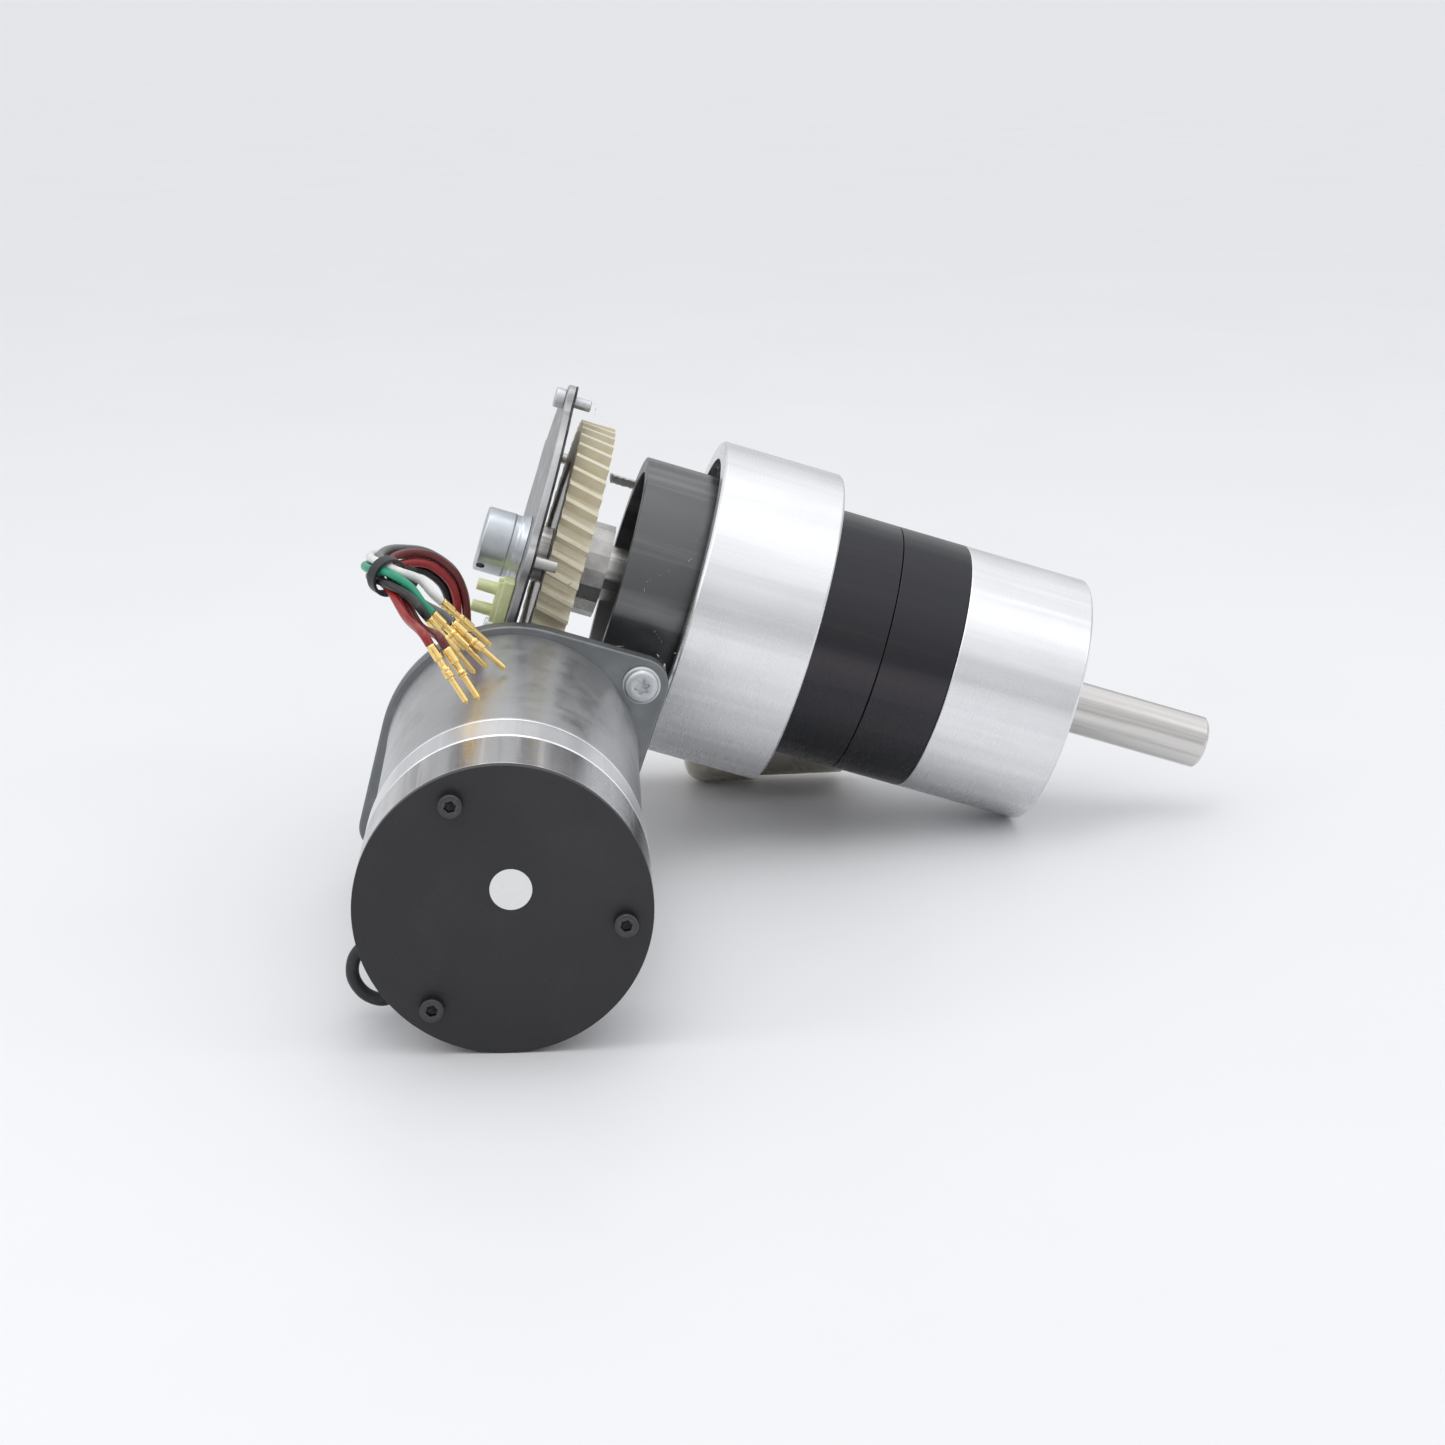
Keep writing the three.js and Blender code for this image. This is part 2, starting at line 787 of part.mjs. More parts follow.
function torxScrew() {
  const head = solid(
    turnedX(
      [
        [-3.6, 0],
        [-3.6, 4.6],
        [-2.9, 5.4],
        [-1.2, 5.8],
        [-0.9, 6.5],
        [0, 6.5],
        [0, 3],
        [16, 3],
        [16, 0],
      ],
      small,
    ),
  );
  const lobes = Array.from({ length: 24 }, (_, i) => {
    const angle = (2 * Math.PI * i) / 24;
    const radius = 2.25 + 0.42 * Math.cos(6 * angle);
    return new THREE.Vector2(radius * Math.cos(angle), radius * Math.sin(angle));
  });
  const socket = alongX(extruded(lobes, 2.6), -4.1);
  return head.subtract(solid(socket));
}

// ---- a small can that stands behind, and its bracket --------------------------------

// Lengths run along the can's own x axis from its rounded left end.
function auxiliaryCan() {
  const body = turnedX(
    [
      [0, 0],
      ...corner(8, 9, 8, 180, 90),
      [26.5, 17],
      [27.2, 16.5],
      [27.2, 15.6],
      [60, 15.6],
      [60, 0],
    ],
    medium,
  );
  const hub = rodX(58, 66, 4);
  const terminal = new THREE.BoxGeometry(2.2, 1.2, 15).translate(64.5, 0, -8.9);
  return solid(body).add(solid(hub)).add(solid(terminal));
}

// A strap from the worm tunnel's end out to a pad on top of the can.
function auxiliaryBracket() {
  const path = new THREE.CatmullRomCurve3(
    [
      [6, 53, 30],
      [24, 53, 30],
      [44, 53, 30],
      [60, 53, 35.4],
      [76, 53, 36.6],
    ].map((point) => new THREE.Vector3(...point)),
  );
  const section = new THREE.Shape(
    [
      [-1, -6],
      [1, -6],
      [1, 6],
      [-1, 6],
    ].map((point) => new THREE.Vector2(...point)),
  );
  return new THREE.ExtrudeGeometry(section, { steps: 16, bevelEnabled: false, extrudePath: path });
}

// ---- wires --------------------------------------------------------------------------

// The six motor wires leave the grommet, arch forward over the motor as one bundle,
// fold round level and fan out to their contacts. The points are the bundle's middle
// line, each with the degrees that the wires have turned by.
const bundle = [
  [-18, -56.5, 95, 5],
  [-20.6, -61, 103.2, 20],
  [-27.3, -69, 110.3, 40],
  [-33.3, -77, 113, 45],
  [-38.4, -86, 114.6, 30],
  [-41.7, -97, 115.1, 5],
  [-39.8, -107, 115, -20],
  [-34.8, -114, 113.4, -60],
];
const wireDiameter = 2.8;
const bundleRadius = 3.25;
const grommetTop = 84.5;

// Each wire's colour and its place round the bundle, where it leaves the grommet, a
// point that it passes on its way out of the tie, and its contact's two ends.
const wires = [
  ['grey', 30, [-14.8, -53.6], [-26.8, -116.2, 107.2], [-16.8, -117, 100.3], [-0.6, -119.5, 85.8]],
  ['white', 90, [-18, -53.6], [-27.2, -112, 113.4], [-20.4, -112, 106.1], [-5.3, -104, 89.8]],
  ['green', 150, [-21.2, -53.6], [-29.4, -118.8, 112], [-22.9, -120.6, 104.2], [-6.3, -118, 86]],
  ['black', 210, [-21.2, -56.9], [-29.8, -122.4, 110.2], [-24, -127, 104.2], [-10.1, -122.5, 85.3]],
  ['red', 270, [-18, -56.9], [-30.4, -131, 105.4], [-22.2, -151, 101], [-11.3, -159, 84.9]],
  ['dark_red', 330, [-14.8, -56.9], [-26.6, -130.5, 102.8], [-17.4, -151, 100], [-7.8, -157, 85.5]],
];

// A short black lead that leaves the front ring low on its left and goes back in.
const motorLeadRoute = [
  [-39.2, -200, 24.4],
  [-41.6, -200, 22.8],
  [-44.4, -200, 19],
  [-44.8, -200, 13.5],
  [-41.6, -200, 8.4],
  [-36.6, -200, 6.4],
  [-32.6, -200, 8],
  [-30.6, -200, 11],
  [-29.8, -200, 11.6],
];
const motorLeadDiameter = 4;

const points = (list) => list.map(([x, y, z]) => new THREE.Vector3(x, y, z));

function tube(route, diameter, steps) {
  const section = new THREE.Shape().absarc(0, 0, diameter / 2, 0, 2 * Math.PI, false);
  const outline = new THREE.Shape(section.getPoints(8).slice(0, 8));
  return new THREE.ExtrudeGeometry(outline, {
    steps,
    bevelEnabled: false,
    extrudePath: new THREE.CatmullRomCurve3(route, false, 'centripetal'),
  });
}

function wireRoute([, place, exit, via, contactStart, contactTip]) {
  const middle = points(bundle);
  const start = new THREE.Vector3(...exit, grommetTop + 0.3);
  const route = [start, start.clone().add(new THREE.Vector3(0, 0, 3))];
  let across = new THREE.Vector3(1, 0, 0);
  middle.forEach((point, i) => {
    const before = middle[Math.max(i - 1, 0)];
    const after = middle[Math.min(i + 1, middle.length - 1)];
    const ahead = after.clone().sub(before).normalize();
    across = across.clone().addScaledVector(ahead, -across.dot(ahead)).normalize();
    const turn = THREE.MathUtils.degToRad(place + bundle[i][3]);
    const offset = across.clone().applyAxisAngle(ahead, turn);
    route.push(point.clone().addScaledVector(offset, bundleRadius));
  });
  const [passing, end, tip] = points([via, contactStart, contactTip]);
  const heading = tip.clone().sub(end).normalize();
  route.push(passing, ...[-4, -0.4].map((back) => end.clone().addScaledVector(heading, back)));
  return route;
}

// Moves a body that was turned about the y axis so that it runs between two points.
function between(geometry, from, to) {
  const heading = to.clone().sub(from).normalize();
  const turn = new THREE.Quaternion().setFromUnitVectors(new THREE.Vector3(0, 1, 0), heading);
  return geometry.applyQuaternion(turn).translate(from.x, from.y, from.z);
}

function contact(start, tip) {
  const length = start.distanceTo(tip);
  const outline = [
    [0, 0],
    [0, 1.5],
    [5, 1.5],
    [6, 1.1],
    [7.5, 1.1],
    [8.5, 1.5],
    [length - 9.5, 1.5],
    [length - 9, 0.95],
    [length - 0.8, 0.95],
    [length, 0.4],
    [length, 0],
  ];
  return between(turnedY(outline, small), start, tip);
}

function cableTie() {
  const [from, to] = points(bundle.slice(-2));
  const length = from.distanceTo(to);
  const inner = bundleRadius + wireDiameter / 2 + 0.55;
  const strap = turnedY(
    [
      [length / 2 - 2, inner],
      [length / 2 - 2, inner + 1.1],
      [length / 2 + 2, inner + 1.1],
      [length / 2 + 2, inner],
    ],
    24,
  );
  const head = new THREE.BoxGeometry(5.4, 4.6, 5.4).translate(-inner - 2.9, length / 2, 0.5);
  return between(fromSolid(solid(strap).add(solid(head))), from, to);
}

function wiring() {
  const grommet = new THREE.BoxGeometry(12.5, 7.5, 5.6).translate(-18.25, -54.95, 81.7);
  const pieces = [
    part('wire_grommet', grommet, blackPlastic),
    part('cable_tie', cableTie(), blackPlastic),
    part('motor_lead', tube(points(motorLeadRoute), motorLeadDiameter, 10), sealRubber),
  ];
  for (const wire of wires) {
    const [colour, , , , start, tip] = wire;
    const route = wireRoute(wire);
    pieces.push(part(`wire_${colour}`, tube(route, wireDiameter, 16), insulation[colour]));
    pieces.push(part(`contact_${colour}`, contact(...points([start, tip])), gold));
  }
  return pieces;
}

// ---- assembly -----------------------------------------------------------------------

const gearbox = new THREE.Group();
gearbox.rotation.y = restTilt;
gearbox.position.set(
  centreDistance * Math.sin(restTilt),
  0,
  motorRadius + centreDistance * Math.cos(restTilt),
);
gearbox.add(...planetaryGearhead(), ...wormGearbox(), ...motor());

const can = part('auxiliary_can', auxiliaryCan(), nickel);
can.position.set(62, 50, 17.05);
can.rotation.y = -0.03;

const group = new THREE.Group();
group.add(gearbox, can, part('auxiliary_bracket', auxiliaryBracket(), blackPlastic), ...wiring());

// the origin goes to the middle of the footprint
const footprint = new THREE.Box3().setFromObject(group, true).getCenter(new THREE.Vector3());
group.position.set(-footprint.x, -footprint.y, 0);

export default group;
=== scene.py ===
"""Right-angle worm gearmotor with a planetary gearhead: its fine surface, materials and light.

Lengths in the tables are in millimetres. Three places carry them into the row frame:
TABLE stands on the table under the motor, GEARBOX has its x axis on the output axis,
and MOTOR has its x axis on the motor axis, from the front cover backwards.
"""

import math

import bmesh
import bpy
from mathutils import Matrix, Vector


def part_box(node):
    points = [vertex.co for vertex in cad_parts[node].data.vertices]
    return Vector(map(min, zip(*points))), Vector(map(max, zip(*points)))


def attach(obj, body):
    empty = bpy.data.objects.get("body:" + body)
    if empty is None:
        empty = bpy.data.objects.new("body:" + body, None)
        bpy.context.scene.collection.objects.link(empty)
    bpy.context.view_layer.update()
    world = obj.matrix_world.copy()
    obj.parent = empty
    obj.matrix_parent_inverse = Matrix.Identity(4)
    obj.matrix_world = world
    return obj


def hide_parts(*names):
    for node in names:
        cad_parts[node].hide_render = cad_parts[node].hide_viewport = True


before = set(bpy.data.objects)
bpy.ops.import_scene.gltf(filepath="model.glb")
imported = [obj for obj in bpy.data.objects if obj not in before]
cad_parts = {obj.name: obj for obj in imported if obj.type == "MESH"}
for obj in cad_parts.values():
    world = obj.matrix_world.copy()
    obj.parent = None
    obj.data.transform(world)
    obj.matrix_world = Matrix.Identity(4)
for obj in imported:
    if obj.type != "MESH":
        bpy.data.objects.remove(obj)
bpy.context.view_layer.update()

# ---- places and driving dimensions ---------------------------------------------------

MM = 0.001
TILT = math.radians(16.94)
CENTRE_DISTANCE = 56.6
MOTOR_RADIUS = 42.5
MOTOR_FRONT = -228.8
COVER_THICKNESS = 3.0
GEARHEAD_RADIUS = 44.9
ADAPTER_RADIUS = 56.6
DRUM_RADIUS = 57.0
NECK_RADIUS = 51.0
COVER_SCREW_CIRCLE = 57.5
SLEEVE_RADIUS = 43.5
COVER_SCREW_ANGLES = (10, 154, 226)
COVER_DOWEL_ANGLES = (82, 298)
COVER_BOSS_ANGLES = COVER_SCREW_ANGLES + COVER_DOWEL_ANGLES
CAP_SCREW_CIRCLE = 34.7
CAP_SCREW_ANGLES = (-40.7, 79.3, 199.3)
FLANGE_SCREW = (34.4, 36.0)

low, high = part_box("motor_cover")
ORIGIN = Vector(((low.x + high.x) / 2, (low.y + high.y) / 2, 0))
ORIGIN.y -= (MOTOR_FRONT + COVER_THICKNESS / 2) * MM

TABLE = Matrix.Translation(ORIGIN) @ Matrix.Scale(MM, 4)
OUTPUT_CENTRE = Vector(
    (CENTRE_DISTANCE * math.sin(TILT), 0, MOTOR_RADIUS + CENTRE_DISTANCE * math.cos(TILT))
)
GEARBOX = TABLE @ Matrix.Translation(OUTPUT_CENTRE) @ Matrix.Rotation(TILT, 4, "Y")
# turns a place so that its x axis runs along the old y axis, with z kept
ALONG_Y = Matrix(((0, -1, 0, 0), (1, 0, 0, 0), (0, 0, 1, 0), (0, 0, 0, 1)))
WORM_AXIS = GEARBOX @ Matrix.Translation((0, 0, -CENTRE_DISTANCE)) @ ALONG_Y
MOTOR = WORM_AXIS @ Matrix.Translation((MOTOR_FRONT, 0, 0))


def at(place, x=0.0, y=0.0, z=0.0):
    return place @ Matrix.Translation((x, y, z))


def around(degrees, radius):
    """y and z at an angle from straight up, clockwise about the x axis seen from behind."""
    turn = math.radians(degrees)
    return -radius * math.sin(turn), radius * math.cos(turn)


# ---- camera ----------------------------------------------------------------------------

CAMERA_AT = (20.40, -976.97, 293.82)
CAMERA_FORWARD = Vector((0.05322, 0.96553, -0.25480))
camera = bpy.data.objects.new("camera", bpy.data.cameras.new("camera"))
bpy.context.scene.collection.objects.link(camera)
camera.location = TABLE @ Vector(CAMERA_AT)
camera.rotation_euler = CAMERA_FORWARD.to_track_quat("-Z", "Y").to_euler()
camera.data.sensor_width = 36
camera.data.lens = 69.76
camera.data.clip_start, camera.data.clip_end = 0.01, 1000
bpy.context.scene.camera = camera

# ---- materials ---------------------------------------------------------------------------


def add(tree, kind, inputs=(), **properties):
    """A shader node with its properties, and inputs that are numbers or other sockets."""
    node = tree.nodes.new("ShaderNode" + kind)
    for name, value in properties.items():
        setattr(node, name, value)
    for name, value in dict(inputs).items():
        if isinstance(value, bpy.types.NodeSocket):
            tree.links.new(value, node.inputs[name])
        else:
            node.inputs[name].default_value = value
    return node


def rgba(colour):
    return (*colour, 1.0)


def spread(tree, value, low, high, to_low=0.0, to_high=1.0):
    inputs = {"Value": value, "From Min": low, "From Max": high, "To Min": to_low, "To Max": to_high}
    return add(tree, "MapRange", inputs).outputs["Result"]


def noise(tree, vector, size, detail=4.0, rough=0.55, stretch=(1, 1, 1), seed=0.0):
    """Noise with features of a size in millimetres, longer along an axis by its stretch."""
    mapping = {
        "Vector": vector,
        "Scale": [1 / s for s in stretch],
        "Location": (seed * 37.0, seed * 19.0, seed * 53.0),
    }
    moved = add(tree, "Mapping", mapping).outputs["Vector"]
    inputs = {"Vector": moved, "Scale": 1 / size, "Detail": detail, "Roughness": rough}
    return add(tree, "TexNoise", inputs).outputs["Fac"]


def material(
    name,
    colour,
    rough,
    metallic=0.0,
    place=TABLE,
    mottle=(),
    rough_by=(12.0, 0.0),
    grooves=None,
    grain=None,
    scratches=None,
    worn=None,
    **sockets,
):
    """A principled material whose patterns lie in a place's own frame, in millimetres.

    mottle: (second colour, size, from, to, most, stretch) patches, from noise values.
    rough_by: (size, amount) of the roughness's variation.
    grooves: (pitch, depth, share of roughness) of turning marks about the x axis.
    grain: (size, depth) of a cast or moulded surface.
    scratches: (size, depth, stretch) of fine scratches.
    worn: (colour, amount) on raised edges.
    """
    made = bpy.data.materials.new(name)
    made.use_nodes = True
    tree = made.node_tree
    shader = tree.nodes["Principled BSDF"]
    shader.inputs["Base Color"].default_value = rgba(colour)
    shader.inputs["Metallic"].default_value = metallic
    shader.inputs["Roughness"].default_value = rough
    for socket, value in sockets.items():
        shader.inputs[socket.replace("_", " ")].default_value = value

    spot = add(tree, "TexCoord").outputs["Object"]
    turned = place.to_euler()
    local = add(
        tree,
        "Mapping",
        {"Vector": spot, "Location": place.translation, "Rotation": turned, "Scale": (MM, MM, MM)},
        vector_type="TEXTURE",
    ).outputs["Vector"]

    tint = rgba(colour)
    for seed, (second, size, start, end, most, stretch) in enumerate(mottle):
        patch = noise(tree, local, size, stretch=stretch, seed=seed + 1.0)
        share = spread(tree, patch, start, end, 0.0, most)
        mix = add(tree, "Mix", data_type="RGBA")
        tree.links.new(share, mix.inputs[0])
        if isinstance(tint, bpy.types.NodeSocket):
            tree.links.new(tint, mix.inputs[6])
        else:
            mix.inputs[6].default_value = tint
        mix.inputs[7].default_value = rgba(second)
        tint = mix.outputs[2]
    if worn:
        edges = add(tree, "NewGeometry").outputs["Pointiness"]
        rubbed = spread(tree, edges, 0.505, 0.56, 0.0, worn[1])
        mix = add(tree, "Mix", data_type="RGBA")
        tree.links.new(rubbed, mix.inputs[0])
        if isinstance(tint, bpy.types.NodeSocket):
            tree.links.new(tint, mix.inputs[6])
        else:
            mix.inputs[6].default_value = tint
        mix.inputs[7].default_value = rgba(worn[0])
        tint = mix.outputs[2]
    if isinstance(tint, bpy.types.NodeSocket):
        tree.links.new(tint, shader.inputs["Base Color"])

    marks = None
    if grooves:
        pitch, depth, share = grooves
        parts = add(tree, "SeparateXYZ", {"Vector": local}).outputs
        flat = add(tree, "CombineXYZ", {"Y": parts["Y"], "Z": parts["Z"]}).outputs["Vector"]
        radius = add(tree, "VectorMath", {0: flat}, operation="LENGTH").outputs["Value"]
        along = add(tree, "Math", {0: parts["X"], 1: radius}, operation="ADD").outputs[0]
        inputs = {"W": along, "Scale": 1 / pitch, "Detail": 3.0, "Roughness": 0.7}
        marks = add(tree, "TexNoise", inputs, noise_dimensions="1D").outputs["Fac"]
    if rough_by[1] > 0:
        patch = noise(tree, local, rough_by[0], seed=7.0)
        gloss = spread(tree, patch, 0.25, 0.75, rough - rough_by[1], rough + rough_by[1])
        if marks:
            lined = spread(tree, marks, 0.3, 0.7, -grooves[2], grooves[2])
            gloss = add(tree, "Math", {0: gloss, 1: lined}, operation="ADD").outputs[0]
        tree.links.new(gloss, shader.inputs["Roughness"])

    normal = None
    heights = []
    if marks:
        heights.append((marks, grooves[1]))
    if grain:
        heights.append((noise(tree, local, grain[0], detail=5.0, seed=3.0), grain[1]))
    if scratches:
        lines = noise(tree, local, scratches[0], detail=6.0, rough=0.7, stretch=scratches[2], seed=5.0)
        heights.append((lines, scratches[1]))
    for height, depth in heights:
        inputs = {"Height": height, "Distance": depth * MM, "Strength": 1.0}
        if normal:
            inputs["Normal"] = normal
        normal = add(tree, "Bump", inputs).outputs["Normal"]
    if normal:
        tree.links.new(normal, shader.inputs["Normal"])
    return made


ROUND = (1, 1, 1)
PAINTED_REFLECTION_STREAKS = (30, 1, 1)  # painted reflection streaks: lighter and darker colour bands along the place's x axis that stand in for lamps reflected along a turned cylinder

# its first two mottles are painted reflection streaks, lighter and darker bands along the axis; the broad round
# patches are tone
turned_aluminium = material(
    "turned_aluminium", (0.87, 0.875, 0.885), 0.27, 1.0, GEARBOX,
    mottle=[
        ((0.66, 0.67, 0.69), 13, 0.44, 0.62, 0.5, PAINTED_REFLECTION_STREAKS),
        ((0.93, 0.935, 0.95), 5, 0.50, 0.68, 0.55, PAINTED_REFLECTION_STREAKS),
        ((0.70, 0.71, 0.73), 45, 0.45, 0.70, 0.35, ROUND),
    ],
    rough_by=(18, 0.05), grooves=(0.7, 0.004, 0.03), scratches=(1.0, 0.002, (14, 1, 1)),
)
# painted shade: the dark colour stands in for the shade inside the neck's windows, and its lighter mottle is painted
# reflection streaks along the axis
window_shade_aluminium = material(
    "window_shade_aluminium", (0.13, 0.132, 0.135), 0.36, 0.9, GEARBOX,
    mottle=[((0.26, 0.265, 0.27), 9, 0.5, 0.68, 0.7, PAINTED_REFLECTION_STREAKS)], rough_by=(8, 0.08), grooves=(0.9, 0.006, 0.03),
)
# both mottles are painted reflection streaks along the axis: a lighter purplish band for the highlight and a darker
# band
anodised_ring = material(
    "anodised_ring", (0.048, 0.048, 0.053), 0.27, 1.0, GEARBOX,
    mottle=[
        ((0.070, 0.062, 0.068), 16, 0.44, 0.64, 0.8, PAINTED_REFLECTION_STREAKS),
        ((0.036, 0.038, 0.044), 22, 0.46, 0.68, 0.7, PAINTED_REFLECTION_STREAKS),
    ],
    rough_by=(15, 0.04), grooves=(0.5, 0.003, 0.03),
)
anodised_cover = material(
    "anodised_cover", (0.026, 0.026, 0.028), 0.46, 0.3, MOTOR,
    mottle=[
        ((0.036, 0.036, 0.039), 30, 0.42, 0.66, 0.7, ROUND),
        ((0.050, 0.050, 0.053), 1.2, 0.62, 0.8, 0.5, ROUND),
    ],
    rough_by=(22, 0.06), grooves=(0.45, 0.004, 0.03), grain=(0.35, 0.006),
)
# both mottles are painted reflection streaks, darker and lighter bands along the axis that stand in for the mirror's
# reflections
polished_steel = material(
    "polished_steel", (0.50, 0.50, 0.51), 0.24, 1.0, MOTOR,
    mottle=[
        ((0.30, 0.295, 0.31), 7, 0.44, 0.62, 0.85, PAINTED_REFLECTION_STREAKS),
        ((0.72, 0.69, 0.70), 4, 0.52, 0.68, 0.7, PAINTED_REFLECTION_STREAKS),
    ],
    rough_by=(16, 0.05), grooves=(0.5, 0.003, 0.03),
)
# its mottle is painted reflection streaks, darker bands along the axis
satin_aluminium = material(
    "satin_aluminium", (0.82, 0.83, 0.84), 0.38, 1.0, MOTOR,
    mottle=[((0.62, 0.63, 0.66), 9, 0.45, 0.65, 0.6, PAINTED_REFLECTION_STREAKS)],
    rough_by=(14, 0.05), grooves=(0.6, 0.005, 0.04),
)
# both mottles are painted reflection streaks, thin darker and lighter bands stretched 60 times along the shaft's axis
ground_shaft = material(
    "ground_shaft", (0.68, 0.665, 0.645), 0.22, 1.0, GEARBOX,
    mottle=[
        ((0.42, 0.405, 0.39), 2.6, 0.46, 0.62, 0.5, (60, 1, 1)),
        ((0.82, 0.80, 0.78), 1.8, 0.56, 0.70, 0.8, (60, 1, 1)),
    ],
    rough_by=(9, 0.04), grooves=(0.35, 0.003, 0.03),
)
hidden_steel = material(
    "hidden_steel", (0.50, 0.49, 0.47), 0.28, 1.0, GEARBOX,
    mottle=[((0.30, 0.29, 0.28), 8, 0.45, 0.7, 0.6, ROUND)], rough_by=(6, 0.08), grain=(0.8, 0.01),
)
cast_aluminium = material(
    "cast_aluminium", (0.48, 0.48, 0.47), 0.45, 0.75, GEARBOX,
    mottle=[
        ((0.46, 0.46, 0.455), 11, 0.45, 0.62, 0.6, ROUND),
        ((0.235, 0.23, 0.22), 16, 0.52, 0.70, 0.55, ROUND),
        ((0.12, 0.115, 0.11), 4.5, 0.63, 0.74, 0.65, ROUND),
        ((0.62, 0.62, 0.61), 0.9, 0.60, 0.72, 0.55, ROUND),
        ((0.17, 0.17, 0.165), 0.7, 0.62, 0.74, 0.5, ROUND),
    ],
    rough_by=(5, 0.10), grain=(0.8, 0.05), worn=((0.62, 0.62, 0.62), 0.5),
)
cover_casting = material(
    "cover_casting", (0.30, 0.303, 0.305), 0.42, 0.8, GEARBOX,
    mottle=[
        ((0.42, 0.42, 0.42), 12, 0.45, 0.62, 0.6, ROUND),
        ((0.15, 0.15, 0.15), 6, 0.6, 0.75, 0.5, ROUND),
        ((0.07, 0.07, 0.07), 2.5, 0.62, 0.72, 0.6, ROUND),
    ],
    rough_by=(6, 0.10), grain=(1.0, 0.04), worn=((0.55, 0.55, 0.56), 0.4),
)
can_casting = material(
    "can_casting", (0.47, 0.475, 0.48), 0.34, 0.9, MOTOR,
    mottle=[
        ((0.56, 0.57, 0.58), 18, 0.42, 0.62, 0.5, (3, 1, 1)),
        ((0.30, 0.305, 0.31), 12, 0.52, 0.70, 0.4, (3, 1, 1)),
        ((0.55, 0.56, 0.58), 1.6, 0.62, 0.75, 0.4, (3, 1, 1)),
    ],
    rough_by=(9, 0.08), grain=(0.6, 0.012),
)
flange_casting = material(
    "flange_casting", (0.105, 0.115, 0.122), 0.42, 0.85, MOTOR,
    mottle=[
        ((0.19, 0.20, 0.21), 10, 0.45, 0.66, 0.6, ROUND),
        ((0.06, 0.064, 0.07), 6, 0.6, 0.75, 0.5, ROUND),
    ],
    rough_by=(6, 0.08), grain=(0.7, 0.02), worn=((0.60, 0.61, 0.62), 0.25),
)
zinc = material(
    "zinc", (0.50, 0.53, 0.56), 0.34, 1.0, GEARBOX,
    mottle=[
        ((0.58, 0.61, 0.64), 6, 0.45, 0.62, 0.5, ROUND),
        ((0.30, 0.33, 0.355), 3, 0.60, 0.75, 0.35, ROUND),
    ],
    rough_by=(3, 0.06), grain=(0.6, 0.008),
)
screw_zinc = material(
    "screw_zinc", (0.60, 0.615, 0.63), 0.42, 0.9, GEARBOX,
    mottle=[((0.48, 0.49, 0.505), 2.2, 0.5, 0.7, 0.5, ROUND)], rough_by=(2.5, 0.06), grain=(0.4, 0.004),
)
oxide = material(
    "oxide", (0.018, 0.018, 0.019), 0.34, 0.6, MOTOR,
    mottle=[((0.05, 0.05, 0.052), 0.9, 0.5, 0.7, 0.7, ROUND)], rough_by=(0.8, 0.10), grain=(0.25, 0.006),
    worn=((0.16, 0.16, 0.165), 0.5),
)
# both mottles are painted reflection streaks, darker and lighter bands along the can's axis
nickel = material(
    "nickel", (0.62, 0.585, 0.52), 0.28, 1.0, TABLE,
    mottle=[
        ((0.45, 0.42, 0.37), 7, 0.45, 0.65, 0.6, (12, 1, 1)),
        ((0.78, 0.75, 0.69), 3, 0.58, 0.75, 0.5, (14, 1, 1)),
    ],
    rough_by=(8, 0.06),
)
gold = material(
    "gold", (0.93, 0.68, 0.27), 0.17, 1.0, TABLE,
    mottle=[((0.66, 0.43, 0.14), 1.5, 0.5, 0.7, 0.5, ROUND)], rough_by=(1.2, 0.06), grain=(0.5, 0.006),
)
rubber = material(
    "rubber", (0.014, 0.014, 0.015), 0.50, 0.0, GEARBOX,
    mottle=[((0.03, 0.03, 0.03), 2.5, 0.5, 0.7, 0.8, ROUND)], rough_by=(3, 0.12), grain=(0.5, 0.03),
)
sealant = material(
    "sealant", (0.010, 0.010, 0.011), 0.30, 0.0, GEARBOX,
    mottle=[((0.10, 0.10, 0.10), 2.5, 0.55, 0.70, 0.8, ROUND)], rough_by=(2, 0.10), grain=(1.2, 0.08),
)
black_plastic = material(
    "black_plastic", (0.016, 0.017, 0.018), 0.42, 0.0, TABLE,
    mottle=[((0.035, 0.036, 0.038), 2.0, 0.5, 0.7, 0.6, ROUND)], rough_by=(3, 0.10), grain=(0.3, 0.01),
)
pale_nylon = material(
    "pale_nylon", (0.66, 0.71, 0.38), 0.38, 0.0, GEARBOX,
    mottle=[((0.78, 0.82, 0.54), 3.0, 0.45, 0.65, 0.6, ROUND)], rough_by=(2, 0.06), grain=(0.5, 0.01),
    Subsurface_Weight=0.25, Subsurface_Scale=0.002,
)
gear_nylon = material(
    "gear_nylon", (0.72, 0.67, 0.52), 0.42, 0.0, GEARBOX,
    mottle=[((0.60, 0.53, 0.38), 6, 0.5, 0.7, 0.5, ROUND)], rough_by=(3, 0.08), grain=(0.5, 0.01),
)
copper = material(
    "copper", (0.62, 0.26, 0.11), 0.35, 1.0, MOTOR,
    mottle=[((0.40, 0.14, 0.06), 2, 0.5, 0.7, 0.6, ROUND)], rough_by=(2, 0.08), grooves=(1.0, 0.10, 0.04),
)
paper = material(
    "paper", (0.80, 0.80, 0.79), 0.62, 0.0, MOTOR,
    mottle=[((0.72, 0.72, 0.71), 1.5, 0.5, 0.75, 0.4, ROUND)], rough_by=(1.5, 0.06), grain=(0.4, 0.006),
)
